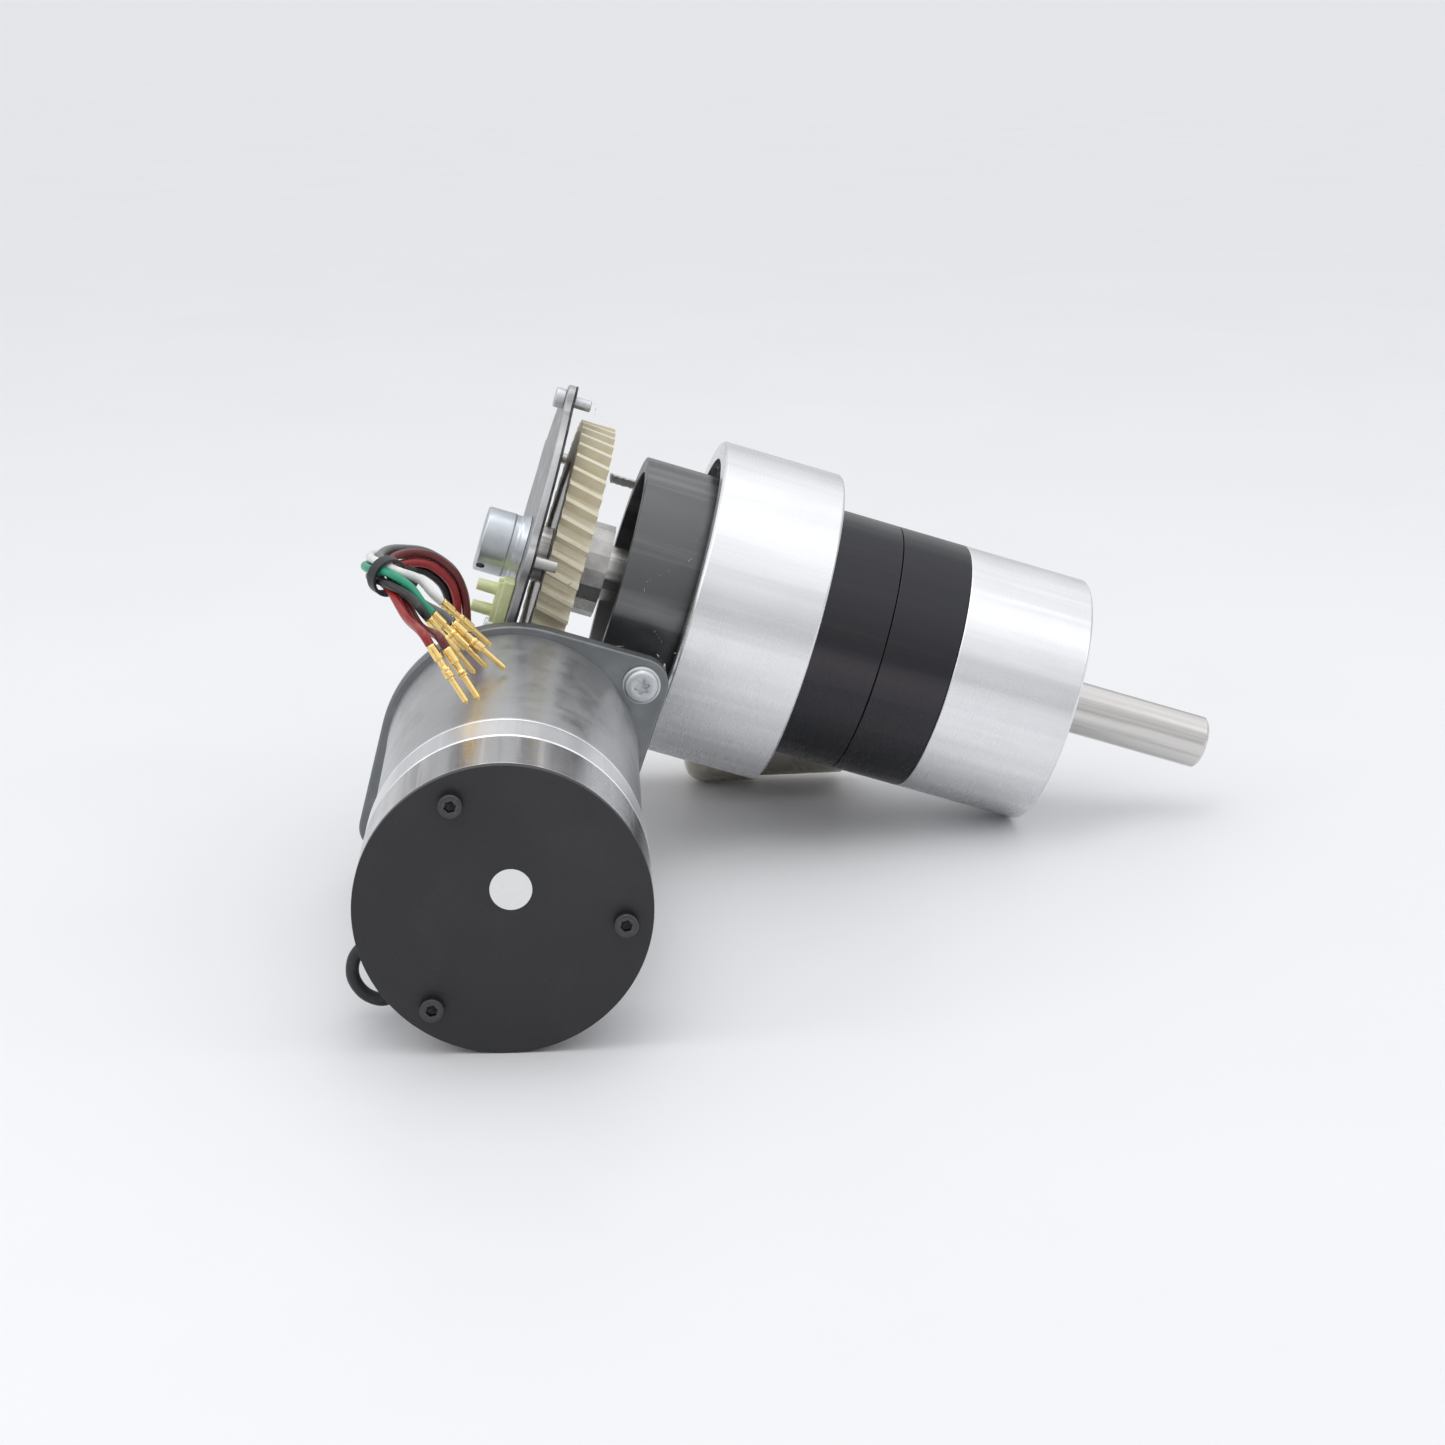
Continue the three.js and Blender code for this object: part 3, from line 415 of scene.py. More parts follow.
INSULATION = {
    "grey": (0.13, 0.135, 0.14),
    "white": (0.78, 0.78, 0.76),
    "green": (0.015, 0.30, 0.17),
    "black": (0.012, 0.012, 0.013),
    "red": (0.30, 0.012, 0.012),
    "dark_red": (0.13, 0.010, 0.010),
}
insulation = {
    name: material(
        f"insulation_{name}", colour, 0.34, 0.0, TABLE,
        mottle=[([c * 0.7 for c in colour], 3.0, 0.45, 0.7, 0.5, ROUND)],
        rough_by=(2.5, 0.08), grain=(0.8, 0.012), Coat_Weight=0.15, Coat_Roughness=0.2,
    )
    for name, colour in INSULATION.items()
}

# ---- shapes --------------------------------------------------------------------------------


def linked(name, data):
    made = bpy.data.objects.new(name, data)
    bpy.context.scene.collection.objects.link(made)
    return made


def shell(name, vertices, faces, place):
    """An object from points in a place's frame, with its faces turned out."""
    mesh = bpy.data.meshes.new(name)
    mesh.from_pydata([place @ Vector(v) for v in vertices], [], faces)
    skin = bmesh.new()
    skin.from_mesh(mesh)
    bmesh.ops.recalc_face_normals(skin, faces=skin.faces)
    skin.to_mesh(mesh)
    skin.free()
    return linked(name, mesh)


def eased(outline, radius, steps=4, closed=False):
    """The outline with its corners rounded by a small radius."""
    rounded = []
    last = len(outline) - 1
    for i, (x, r) in enumerate(outline):
        here = Vector((x, r))
        if not closed and i in (0, last) or r == 0:
            rounded.append((x, r))
            continue
        before = Vector(outline[i - 1]) - here
        after = Vector(outline[(i + 1) % len(outline)]) - here
        if before.length < 1e-6 or after.length < 1e-6:
            rounded.append((x, r))
            continue
        reach = min(radius, 0.45 * before.length, 0.45 * after.length)
        start, end = here + before.normalized() * reach, here + after.normalized() * reach
        for step in range(steps + 1):
            t = step / steps
            point = start * (1 - t) ** 2 + here * (2 * t * (1 - t)) + end * t * t
            rounded.append((point.x, point.y))
    return rounded


def rings(name, stack, place, count=96, turns=None, loop=False):
    """A skin through rings about a place's x axis. Each is (along, radius), and a radius
    is a number, a function of the angle, or a list with one number for each point.
    Radius 0 is a pole, and loop joins the last ring to the first."""
    turns = turns or [2 * math.pi * i / count for i in range(count)]
    count = len(turns)
    vertices, rows, faces = [], [], []
    for along, radius in stack:
        if not callable(radius) and not isinstance(radius, list) and radius == 0:
            rows.append([len(vertices)])
            vertices.append((along, 0, 0))
            continue
        rows.append(range(len(vertices), len(vertices) + count))
        for i, turn in enumerate(turns):
            r = radius(turn) if callable(radius) else radius[i] if isinstance(radius, list) else radius
            vertices.append((along, -r * math.sin(turn), r * math.cos(turn)))
    for one, two in zip(rows, [*rows[1:], *([rows[0]] if loop else [])]):
        for i in range(count):
            j = (i + 1) % count
            if len(one) == 1 and len(two) == 1:
                continue
            if len(one) == 1:
                faces.append((one[0], two[i], two[j]))
            elif len(two) == 1:
                faces.append((one[i], two[0], one[j]))
            else:
                faces.append((one[i], two[i], two[j], one[j]))
    return shell(name, vertices, faces, place)


def turned(name, outline, place, ease=0.3, count=128, closed=False):
    return rings(name, eased(outline, ease, closed=closed), place, count, loop=closed)


def rod(name, start, end, radius, place, count=48, ease=0.0):
    outline = [(start, 0), (start, radius), (end, radius), (end, 0)]
    return rings(name, eased(outline, ease) if ease else outline, place, count)


def block(name, size, centre, place, ease=0.3, steps=3):
    """A box with rounded edges."""
    mesh = bpy.data.meshes.new(name)
    skin = bmesh.new()
    bmesh.ops.create_cube(skin, size=1.0)
    bmesh.ops.scale(skin, vec=size, verts=skin.verts)
    bmesh.ops.bevel(skin, geom=list(skin.edges), offset=ease, segments=steps, profile=0.5, affect="EDGES")
    bmesh.ops.transform(skin, matrix=at(place, *centre), verts=skin.verts)
    skin.to_mesh(mesh)
    skin.free()
    return linked(name, mesh)


def baked(obj):
    """Applies obj's modifiers."""
    graph = bpy.context.evaluated_depsgraph_get()
    obj.data = bpy.data.meshes.new_from_object(obj.evaluated_get(graph))
    obj.modifiers.clear()
    return obj


def combined(obj, others, operation):
    """obj joined with the others, or with them cut away."""
    for other in others:
        step = obj.modifiers.new("combine", "BOOLEAN")
        step.operation, step.object, step.solver = operation, other, "EXACT"
    baked(obj)
    for other in others:
        bpy.data.objects.remove(other)
    return obj


def merged(name, objects):
    """Separate shells in one object."""
    mesh = bpy.data.meshes.new(name)
    skin = bmesh.new()
    for obj in objects:
        skin.from_mesh(obj.data)
        bpy.data.objects.remove(obj)
    skin.to_mesh(mesh)
    skin.free()
    return linked(name, mesh)


def piece(obj, look, nodes=(), body="housing", sharp=38, weighted=True):
    """Gives a new piece its look, the CAD nodes that it stands for and its body."""
    if obj.type == "MESH":
        obj.data.shade_smooth()
        obj.data.set_sharp_from_angle(angle=math.radians(sharp))
        if weighted:
            obj.modifiers.new("normals", "WEIGHTED_NORMAL").keep_sharp = True
    obj.data.materials.append(look)
    if nodes:
        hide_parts(*nodes)
    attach(obj, body)
    return obj


# ---- wires ---------------------------------------------------------------------------------

# The bundle's middle line, with the degrees that its wires have turned by.
BUNDLE = [
    (-18, -56.5, 95, 5), (-20.6, -61, 103.2, 20), (-27.3, -69, 110.3, 40), (-33.3, -77, 113, 45),
    (-38.4, -86, 114.6, 30), (-41.7, -97, 115.1, 5), (-39.8, -107, 115, -20), (-34.8, -114, 113.4, -60),
]
WIRE_DIAMETER = 2.8
BUNDLE_RADIUS = 3.25
GROMMET_TOP = 84.5
WIRE_EXIT = GROMMET_TOP + 0.3
# place round the bundle, exit, a point passed after the tie, and the contact's ends
WIRES = {
    "grey": (30, (-14.8, -53.6), (-26.8, -116.2, 107.2), (-16.8, -117, 100.3), (-0.6, -119.5, 85.8)),
    "white": (90, (-18, -53.6), (-27.2, -112, 113.4), (-20.4, -112, 106.1), (-5.3, -104, 89.8)),
    "green": (150, (-21.2, -53.6), (-29.4, -118.8, 112), (-22.9, -120.6, 104.2), (-6.3, -118, 86)),
    "black": (210, (-21.2, -56.9), (-29.8, -122.4, 110.2), (-24, -127, 104.2), (-10.1, -122.5, 85.3)),
    "red": (270, (-18, -56.9), (-30.4, -131, 105.4), (-22.2, -151, 101), (-11.3, -159, 84.9)),
    "dark_red": (330, (-14.8, -56.9), (-26.6, -130.5, 102.8), (-17.4, -151, 100), (-7.8, -157, 85.5)),
}
LEAD_ROUTE = [
    (-39.2, -200, 24.4), (-41.6, -200, 22.8), (-44.4, -200, 19), (-44.8, -200, 13.5), (-41.6, -200, 8.4),
    (-36.6, -200, 6.4), (-32.6, -200, 8), (-30.6, -200, 11), (-29.8, -200, 11.6),
]
LEAD_DIAMETER = 4


def wire_route(place, leave, via, start, tip):
    """A wire's route: straight up, along the bundle, past via and into its contact."""
    first = Vector((*leave, WIRE_EXIT))
    route = [first, first + Vector((0, 0, 3))]
    middle = [Vector(row[:3]) for row in BUNDLE]
    across = Vector((1, 0, 0))
    for i, point in enumerate(middle):
        ahead = (middle[min(i + 1, len(middle) - 1)] - middle[max(i - 1, 0)]).normalized()
        across = (across - ahead * across.dot(ahead)).normalized()
        turn = Matrix.Rotation(math.radians(place + BUNDLE[i][3]), 3, ahead)
        route.append(point + turn @ across * BUNDLE_RADIUS)
    start, tip = Vector(start), Vector(tip)
    heading = (tip - start).normalized()
    return [*route, Vector(via), start - heading * 4, start - heading * 0.4]


def smoothed(points, steps):
    """Points on the centripetal Catmull-Rom curve through a route."""
    ends = [points[0] * 2 - points[1], *points, points[-1] * 2 - points[-2]]
    curve = []
    for k in range(len(points) - 1):
        four = ends[k : k + 4]
        knots = [0.0]
        for one, two in zip(four, four[1:]):
            knots.append(knots[-1] + (two - one).length ** 0.5)
        for step in range(steps + (k == len(points) - 2)):
            x = knots[1] + (knots[2] - knots[1]) * step / steps
            row = four
            for width in (1, 2, 3):
                spans = [(knots[i], knots[i + width]) for i in range(len(row) - 1)]
                if width == 2:
                    spans = [(knots[0], knots[2]), (knots[1], knots[3])]
                if width == 3:
                    spans = [(knots[1], knots[2])]
                row = [
                    row[i] * ((b - x) / (b - a)) + row[i + 1] * ((x - a) / (b - a))
                    for i, (a, b) in enumerate(spans)
                ]
            curve.append(row[0])
    return curve


def cord_curve(name, points, diameter, place=TABLE):
    curve = bpy.data.curves.new(name, "CURVE")
    curve.dimensions = "3D"
    curve.bevel_depth = diameter / 2 * MM
    curve.bevel_resolution = 5
    curve.resolution_u = 5
    curve.use_fill_caps = True
    spline = curve.splines.new("BEZIER")
    spline.bezier_points.add(len(points) - 1)
    for knot, point in zip(spline.bezier_points, points):
        knot.co = place @ point
        knot.handle_left_type = knot.handle_right_type = "AUTO"
    return linked(name, curve)


def between(start, tip):
    """A place whose x axis runs from start towards tip, on the table's frame."""
    heading = (tip - start).normalized()
    turn = Vector((0, 1, 0)).rotation_difference(heading).to_matrix().to_4x4()
    return TABLE @ Matrix.Translation(start) @ turn @ ALONG_Y


def contact(name, start, tip):
    """A crimped contact: insulation grip, wire crimp, barrel and a round pin."""
    length = (tip - start).length

    def pressed(radius, depth):
        return lambda turn: radius - depth * max(0.0, math.cos(2 * turn)) ** 3

    stack = [
        (0, 0), (0.0, 1.38), (0.15, 1.5), (0.8, 1.5), (1.3, pressed(1.5, 0.22)), (2.2, pressed(1.5, 0.22)),
        (2.7, 1.5), (3.2, pressed(1.5, 0.2)), (4.1, pressed(1.5, 0.2)), (4.7, 1.5), (5.0, 1.48), (5.15, 1.35),
        (5.5, 1.1), (5.9, pressed(1.12, 0.2)), (7.2, pressed(1.12, 0.2)), (7.6, 1.1), (8.2, 1.18), (8.4, 1.45),
        (8.55, 1.5), (9.4, 1.5), (9.5, 1.38), (9.8, 1.38), (9.9, 1.5), (length - 9.7, 1.5), (length - 9.5, 1.4),
        (length - 9.3, 1.05), (length - 9.1, 0.95), (length - 1.2, 0.95), (length - 0.6, 0.8),
        (length - 0.2, 0.5), (length, 0.2), (length, 0),
    ]
    return rings(name, stack, between(start, tip), 24)


for colour, (*_, start, tip) in WIRES.items():
    skin = contact(f"crimp_{colour}", Vector(start), Vector(tip))
    piece(skin, gold, [f"contact_{colour}"], sharp=50)

# the tie's strap, and its head with the cut tail
tie_place = between(Vector(BUNDLE[-2][:3]), Vector(BUNDLE[-1][:3]))
tie_middle = (Vector(BUNDLE[-1][:3]) - Vector(BUNDLE[-2][:3])).length / 2
TIE_INNER = BUNDLE_RADIUS + WIRE_DIAMETER / 2 + 0.55
strap = turned(
    "tie_strap",
    [(tie_middle - 2, TIE_INNER), (tie_middle - 2, TIE_INNER + 1.1),
     (tie_middle + 2, TIE_INNER + 1.1), (tie_middle + 2, TIE_INNER)],
    tie_place, 0.3, 64, closed=True,
)
tie_head = block("tie_head", (4.6, 5.4, 5.4), (tie_middle, TIE_INNER + 2.9, 0.5), tie_place, 0.7)
tie_tail = block("tie_tail", (3.4, 1.2, 4.6), (tie_middle, TIE_INNER + 1.9, 4.4), tie_place, 0.25)
tie = piece(merged("tie_fine", [strap, tie_head, tie_tail]), black_plastic, ["cable_tie"])

for colour, wire in WIRES.items():
    points = smoothed(wire_route(*wire), 3)
    wire_piece = cord_curve(f"lead_{colour}", points, WIRE_DIAMETER)
    piece(wire_piece, insulation[colour], [f"wire_{colour}"])
lead_points = smoothed([Vector(p) for p in LEAD_ROUTE], 3)
lead = cord_curve("motor_lead_fine", lead_points, LEAD_DIAMETER)
piece(lead, black_plastic, ["motor_lead"])
grommet = block("grommet_body", (12.5, 7.5, 5.6), (-18.25, -54.95, 81.7), TABLE, 1.0)
piece(grommet, black_plastic, ["wire_grommet"])

# ---- screws --------------------------------------------------------------------------------


def hexagon(across):
    def radius(turn):
        return across / 2 / math.cos((turn % (math.pi / 3)) - math.pi / 6)

    return radius


def lobed(turn):
    return 2.25 + 0.42 * math.cos(6 * turn)


def cap_screw(name, place, shank, head_height, tall=3.5):
    """A socket head cap screw along x, with a knurled head that stands towards -x."""

    def knurl(turn):
        return tall - 0.07 * (math.sin(turn * 40) > 0)

    socket = hexagon(3.0)
    stack = [
        (shank, 0), (shank, 1.7), (shank - 0.4, 2.0), (0, 2.0), (0, tall - 0.25), (-0.25, tall - 0.03),
        (-0.5, knurl), (-head_height + 1.0, knurl), (-head_height + 0.8, tall - 0.03),
        (-head_height + 0.35, tall - 0.06), (-head_height + 0.1, tall - 0.25), (-head_height, tall - 0.55),
        (-head_height, 2.0), (-head_height + 0.25, socket), (-head_height + 2.2, socket), (-head_height + 2.6, 0.6),
        (-head_height + 2.7, 0),
    ]
    return rings(name, stack, place, 120)


def torx_screw(name, place):
    """A flanged button head screw with a six-lobed socket."""
    stack = [
        (16, 0), (16, 2.6), (15.5, 3.0), (0, 3.0), (0, 6.2), (-0.15, 6.45), (-0.5, 6.5), (-0.85, 6.4), (-1.0, 6.1),
        (-1.15, 5.85), (-1.5, 5.75), (-2.3, 5.6), (-2.9, 5.3), (-3.3, 4.9), (-3.55, 4.3), (-3.6, 3.5), (-3.6, 3.0),
        (-3.45, lobed), (-1.5, lobed), (-1.2, 1.2), (-1.1, 0),
    ]
    return rings(name, stack, place, 96)


for i, degrees in enumerate(CAP_SCREW_ANGLES):
    spot = at(MOTOR, -0.05, *around(degrees, CAP_SCREW_CIRCLE))
    skin = cap_screw(f"motor_screw_{i + 1}", spot, 16, 3.95)
    piece(skin, oxide, [f"cover_cap_screw_{i + 1}"], sharp=30)
for i, degrees in enumerate(COVER_SCREW_ANGLES):
    spot = at(GEARBOX, -14.65, *around(degrees, COVER_SCREW_CIRCLE))
    skin = cap_screw(f"gearbox_screw_{i + 1}", spot, 9.5, 3.55)
    piece(skin, screw_zinc, [f"cover_screw_{i + 1}"], sharp=30)
for i, degrees in enumerate(COVER_DOWEL_ANGLES):
    spot = at(GEARBOX, 0, *around(degrees, COVER_SCREW_CIRCLE))
    skin = turned(f"dowel_{i + 1}", [(-14.4, 0), (-14.4, 2), (-3.3, 2), (-3.3, 0)], spot, 0.35, 40)
    piece(skin, hidden_steel, [f"cover_dowel_{i + 1}"])
for side, name in ((1, "upper"), (-1, "lower")):
    spot = at(MOTOR, 162.6, -side * FLANGE_SCREW[0], side * FLANGE_SCREW[1])
    piece(torx_screw(f"torx_{name}", spot), screw_zinc, [f"flange_screw_{name}"], sharp=30)

# ---- motor ---------------------------------------------------------------------------------


def eared_outline(radius, lower_radius, ear_radius):
    """The polar radius of a round plate with straight tangents out to two ears."""
    reach = math.hypot(*FLANGE_SCREW)
    ear = math.atan2(FLANGE_SCREW[0], FLANGE_SCREW[1])  # from up, towards world +X
    table = []
    for i in range(720):
        turn = 2 * math.pi * i / 720
        best = 0.0
        for side in (0, math.pi):
            off = (turn - ear - side + math.pi) % (2 * math.pi) - math.pi
            # which radius this side of the ear has: the upper arc runs anticlockwise of the upper ear
            upper = (off < 0) if side == 0 else (off > 0)
            big = radius if upper else lower_radius
            best = max(best, big if abs(off) > 0 and side == 0 else best)
            lean = math.acos((big - ear_radius) / reach)
            span = abs(off)
            if span < lean:
                # tangent line at angle lean from the ear's diagonal, or the ear's own arc
                line = big / math.cos(lean - span) if lean - span < math.pi / 2 else 1e9
                inside = ear_radius**2 - (reach * math.sin(span)) ** 2
                arc = reach * math.cos(span) + math.sqrt(inside) if inside > 0 else 0.0
                touch = math.atan2(
                    ear_radius * math.sin(lean), reach + ear_radius * math.cos(lean)
                )
                best = arc if span < touch else max(best, line)
        table.append(best)

    def outline(turn):
        x = (turn % (2 * math.pi)) / (2 * math.pi) * 720
        i = int(x)
        return table[i % 720] * (1 - (x - i)) + table[(i + 1) % 720] * (x - i)

    return outline


def inset(outline, by):
    return lambda turn: outline(turn) - by


piece(
    turned("cover_disc", [(0, 0), (0, MOTOR_RADIUS), (3, MOTOR_RADIUS), (3, 0)], MOTOR, 0.35, 160),
    anodised_cover, ["motor_cover"],
)
sticker_spot = at(MOTOR, 0, -0.335, 6.79)
piece(
    turned(
        "round_sticker", [(-0.02, 0), (-0.12, 0), (-0.12, 6.0), (-0.02, 6.0), (-0.02, 0)],
        sticker_spot, 0.04, 64,
    ),
    paper,
)
piece(
    turned(
        "ring_front",
        [(3.05, 29), (3.05, 42.5), (31.6, 42.5), (33, 41.4), (33, 36), (22, 36), (22, 29)],
        MOTOR, 0.25, 160, closed=True,
    ),
    polished_steel, ["front_ring"],
)
piece(
    turned(
        "ring_spacer",
        [(33.1, 36), (33.1, 41.7), (33.8, 42.4), (50.6, 42.4), (50.8, 42.1), (51.2, 42.1), (51.4, 42.4),
         (52.9, 42.4), (53.6, 41.7), (53.6, 36)],
        MOTOR, 0.2, 160, closed=True,
    ),
    satin_aluminium, ["spacer_ring"],
)
piece(
    turned(
        "can_body",
        [(53.7, 36.5), (53.7, 40.4), (55.2, 41.2), (150, 42.0), (161.2, 42.4), (162.6, 42.4), (162.6, 5.3),
         (156, 5.3), (156, 38.5), (58, 38.5), (58, 36.5)],
        MOTOR, 0.5, 160, closed=True,
    ),
    can_casting, ["motor_can"],
)
plate_outline = eared_outline(45, 42.5, 9)
flange_plate = rings(
    "flange_plate",
    [(162.75, 21), (162.75, inset(plate_outline, 0.9)), (162.95, inset(plate_outline, 0.35)),
     (163.5, plate_outline), (169.2, plate_outline), (169.75, inset(plate_outline, 0.25)),
     (169.95, inset(plate_outline, 0.8)), (169.95, 21)],
    MOTOR, 360, loop=True,
)
piece(flange_plate, flange_casting, ["motor_flange"], sharp=50)

# ---- gearhead --------------------------------------------------------------------------------

piece(
    turned(
        "adapter_body",
        [(44.2, 50), (44.2, ADAPTER_RADIUS - 1), (45.2, ADAPTER_RADIUS), (87.2, ADAPTER_RADIUS),
         (88, ADAPTER_RADIUS - 0.8), (88, 16), (78, 16), (78, 47), (54, 47), (54, 50)],
        GEARBOX, 0.35, 180, closed=True,
    ),
    turned_aluminium, ["motor_adapter"],
)
# the adapter's dull sleeve, which shows through the cast windows; its dark colour is painted shade for the inside of
# the windows
piece(
    turned(
        "adapter_sleeve", [(20, 38), (20, SLEEVE_RADIUS), (78, SLEEVE_RADIUS), (78, 38)],
        GEARBOX, 0.35, 128, closed=True,
    ),
    window_shade_aluminium,
)


def tooth_rows(teeth, root, tip, first=0.0):
    """The angles and radii of a gear's outline with straight-sided teeth."""
    pitch = 2 * math.pi / teeth
    turns, radii = [], []
    for tooth in range(teeth):
        for radius, share in ((root, -0.29), (tip, -0.11), (tip, 0.11), (root, 0.29)):
            turns.append(first + (tooth + share) * pitch)
            radii.append(radius)
    return turns, radii


RING_TEETH, GEAR_MODULE = 45, 1.6
ring_pitch = GEAR_MODULE * RING_TEETH / 2
ring_turns, ring_radii = tooth_rows(
    RING_TEETH, ring_pitch + 1.2 * GEAR_MODULE, ring_pitch - 0.85 * GEAR_MODULE, math.pi / RING_TEETH
)
for number, start, end in ((1, 88.1, 113.3), (2, 113.5, 138.5)):
    edge = 0.35
    outer = GEARHEAD_RADIUS
    stack = [
        (start, ring_radii), (start, outer - edge), (start + 0.1, outer - 0.15), (start + edge, outer),
        (end - edge, outer), (end - 0.1, outer - 0.15), (end, outer - edge), (end, ring_radii),
    ]
    skin = rings(f"gear_ring_{number}", stack, GEARBOX, turns=ring_turns, loop=True)
    piece(skin, anodised_ring, [f"ring_gear_{number}"])
piece(
    turned(
        "flange_body",
        [(138.6, 21), (138.6, 44.5), (139.0, 44.9), (183.4, 44.9), (184.2, 44.1), (184.2, 14.5), (188.4, 14.5),
         (188.8, 14.1), (188.8, 12), (179.2, 12), (179.2, 21)],
        GEARBOX, 0.3, 180, closed=True,
    ),
    turned_aluminium, ["output_flange"],
)
piece(
    turned(
        "seal_lip",
        [(180.2, 9.6), (180.2, 11.8), (188.4, 11.8), (188.4, 11.0), (187.6, 10.4), (188.0, 9.65), (186.8, 9.6)],
        GEARBOX, 0.2, 96, closed=True,
    ),
    rubber, ["output_seal"],
)
KEY_TURN = math.radians(-63)
SHAFT_END, SHAFT_RADIUS, KEY_LENGTH, KEY_MIDDLE = 243.3, 9.5, 42.0, 211.5
key_place = GEARBOX @ Matrix.Rotation(KEY_TURN, 4, "X")
shaft = turned(
    "shaft_body",
    [(134.4, 0), (134.4, 34), (138.4, 34), (138.4, 12), (143.6, 12), (143.6, 11), (178, 11), (178, SHAFT_RADIUS),
     (SHAFT_END - 1.2, SHAFT_RADIUS), (SHAFT_END, SHAFT_RADIUS - 1.2), (SHAFT_END, 0)],
    GEARBOX, 0.15, 96,
)
pins = [rod("pin", 118.4, 135.4, 4.2, at(GEARBOX, 0, *around(120 * i, 24)), 32) for i in range(3)]
combined(shaft, pins, "UNION")


def round_ended(name, length, width, start, end, place, ease):
    """A key or its seat: a bar along x with round ends, between two heights."""
    rows = []
    for i in range(48):
        turn = 2 * math.pi * (i + 0.5) / 48
        middle = math.copysign((length - width) / 2, math.cos(turn))
        rows.append((middle, math.cos(turn), math.sin(turn)))
    vertices, faces = [], []
    levels = [(start, 0.0), (end - ease, 0.0), (end - ease * 0.3, ease * 0.3), (end, ease)]
    for height, inwards in levels:
        half = width / 2 - inwards
        vertices += [(middle + half * c, half * s, height) for middle, c, s in rows]
    count = len(rows)
    for level in range(len(levels) - 1):
        base = level * count
        for i in range(count):
            j = (i + 1) % count
            faces.append((base + i, base + j, base + count + j, base + count + i))
    faces += [tuple(range(count)), tuple(range((len(levels) - 1) * count, len(levels) * count))]
    return shell(name, vertices, faces, place)


seat = round_ended("seat", KEY_LENGTH + 0.2, 6.1, 6.1, 12.5, at(key_place, KEY_MIDDLE), 0.01)
combined(shaft, [seat], "DIFFERENCE")
piece(shaft, ground_shaft, ["output_shaft"], "output", sharp=30)
key = round_ended("key_bar", KEY_LENGTH, 5.9, 6.15, 11.95, at(key_place, KEY_MIDDLE), 0.4)
piece(key, ground_shaft, ["output_key"], "output")

# the wheel's shaft shows through the neck's windows
SUN_TEETH = 15
sun_pitch = GEAR_MODULE * SUN_TEETH / 2
sun_turns, sun_radii = tooth_rows(SUN_TEETH, sun_pitch - 1.2 * GEAR_MODULE, sun_pitch + 0.85 * GEAR_MODULE)
wheel_shaft = turned(
    "wheel_shaft_fine",
    [(-9.5, 0), (-9.5, 10), (-5, 10), (-5, 33.9), (5, 33.9), (5, 11), (7, 9.9), (40, 9.9), (40, 15), (76, 15), (76, 8),
     (92, 8), (92, 0)],
    GEARBOX, 0.3, 96,
)
sun = rings("sun", [(91.5, 0), (91.5, sun_radii), (108, sun_radii), (108, 0)], GEARBOX, turns=sun_turns)
piece(merged("wheel_shaft_body", [wheel_shaft, sun]), ground_shaft, ["wheel_shaft"], "wheel")

# ---- worm gearbox ----------------------------------------------------------------------------


def scalloped(radius, ear_radius):
    """The polar radius of a disc with an ear at each boss, blended by a fillet."""
    count = 720
    raw = []
    for i in range(count):
        turn = 2 * math.pi * i / count
        best = radius
        for degrees in COVER_BOSS_ANGLES:
            off = (turn - math.radians(degrees) + math.pi) % (2 * math.pi) - math.pi
            inside = ear_radius**2 - (COVER_SCREW_CIRCLE * math.sin(off)) ** 2
            if abs(off) < 1 and inside > 0:
                best = max(best, COVER_SCREW_CIRCLE * math.cos(off) + math.sqrt(inside))
        raw.append(best)
    reach = 6
    table = [
        max(raw[i], sum(raw[(i + k) % count] for k in range(-reach, reach + 1)) / (2 * reach + 1))
        for i in range(count)
    ]

    def outline(turn):
        x = (turn % (2 * math.pi)) / (2 * math.pi) * count
        i = int(x)
        return table[i % count] * (1 - (x - i)) + table[(i + 1) % count] * (x - i)

    return outline


cover_edge = scalloped(DRUM_RADIUS, 5.4)
cover = rings(
    "gearbox_cover",
    [(-14.6, 0), (-14.6, 20), (-14.6, 50), (-14.6, inset(cover_edge, 0.9)), (-14.45, inset(cover_edge, 0.3)),
     (-13.9, cover_edge), (-11.95, cover_edge), (-11.9, inset(cover_edge, 0.1)), (-11.9, 30), (-11.9, 0)],
    GEARBOX, 360,
)
piece(cover, cover_casting, ["housing_cover"], sharp=50)
gasket_edge = scalloped(DRUM_RADIUS + 0.3, 5.4)


def squeezed(turn):
    """The gasket's edge, pressed out unevenly."""
    return gasket_edge(turn) + 0.55 * math.sin(turn * 23) * math.sin(turn * 7.0) + 0.25 * math.sin(turn * 61)


gasket = rings(
    "gasket_fine",
    [(-11.85, 53.5), (-11.85, inset(squeezed, 0.3)), (-11.6, squeezed), (-11.3, squeezed),
     (-11.05, inset(squeezed, 0.3)), (-11.05, 53.5)],
    GEARBOX, 360, loop=True,
)
piece(gasket, sealant, ["cover_gasket"], sharp=60)


def drum_corner(x, radius, reach, steps=8):
    return [
        (x + reach * math.sin(math.pi / 2 * k / steps), radius + reach * math.cos(math.pi / 2 * k / steps))
        for k in range(steps + 1)
    ]


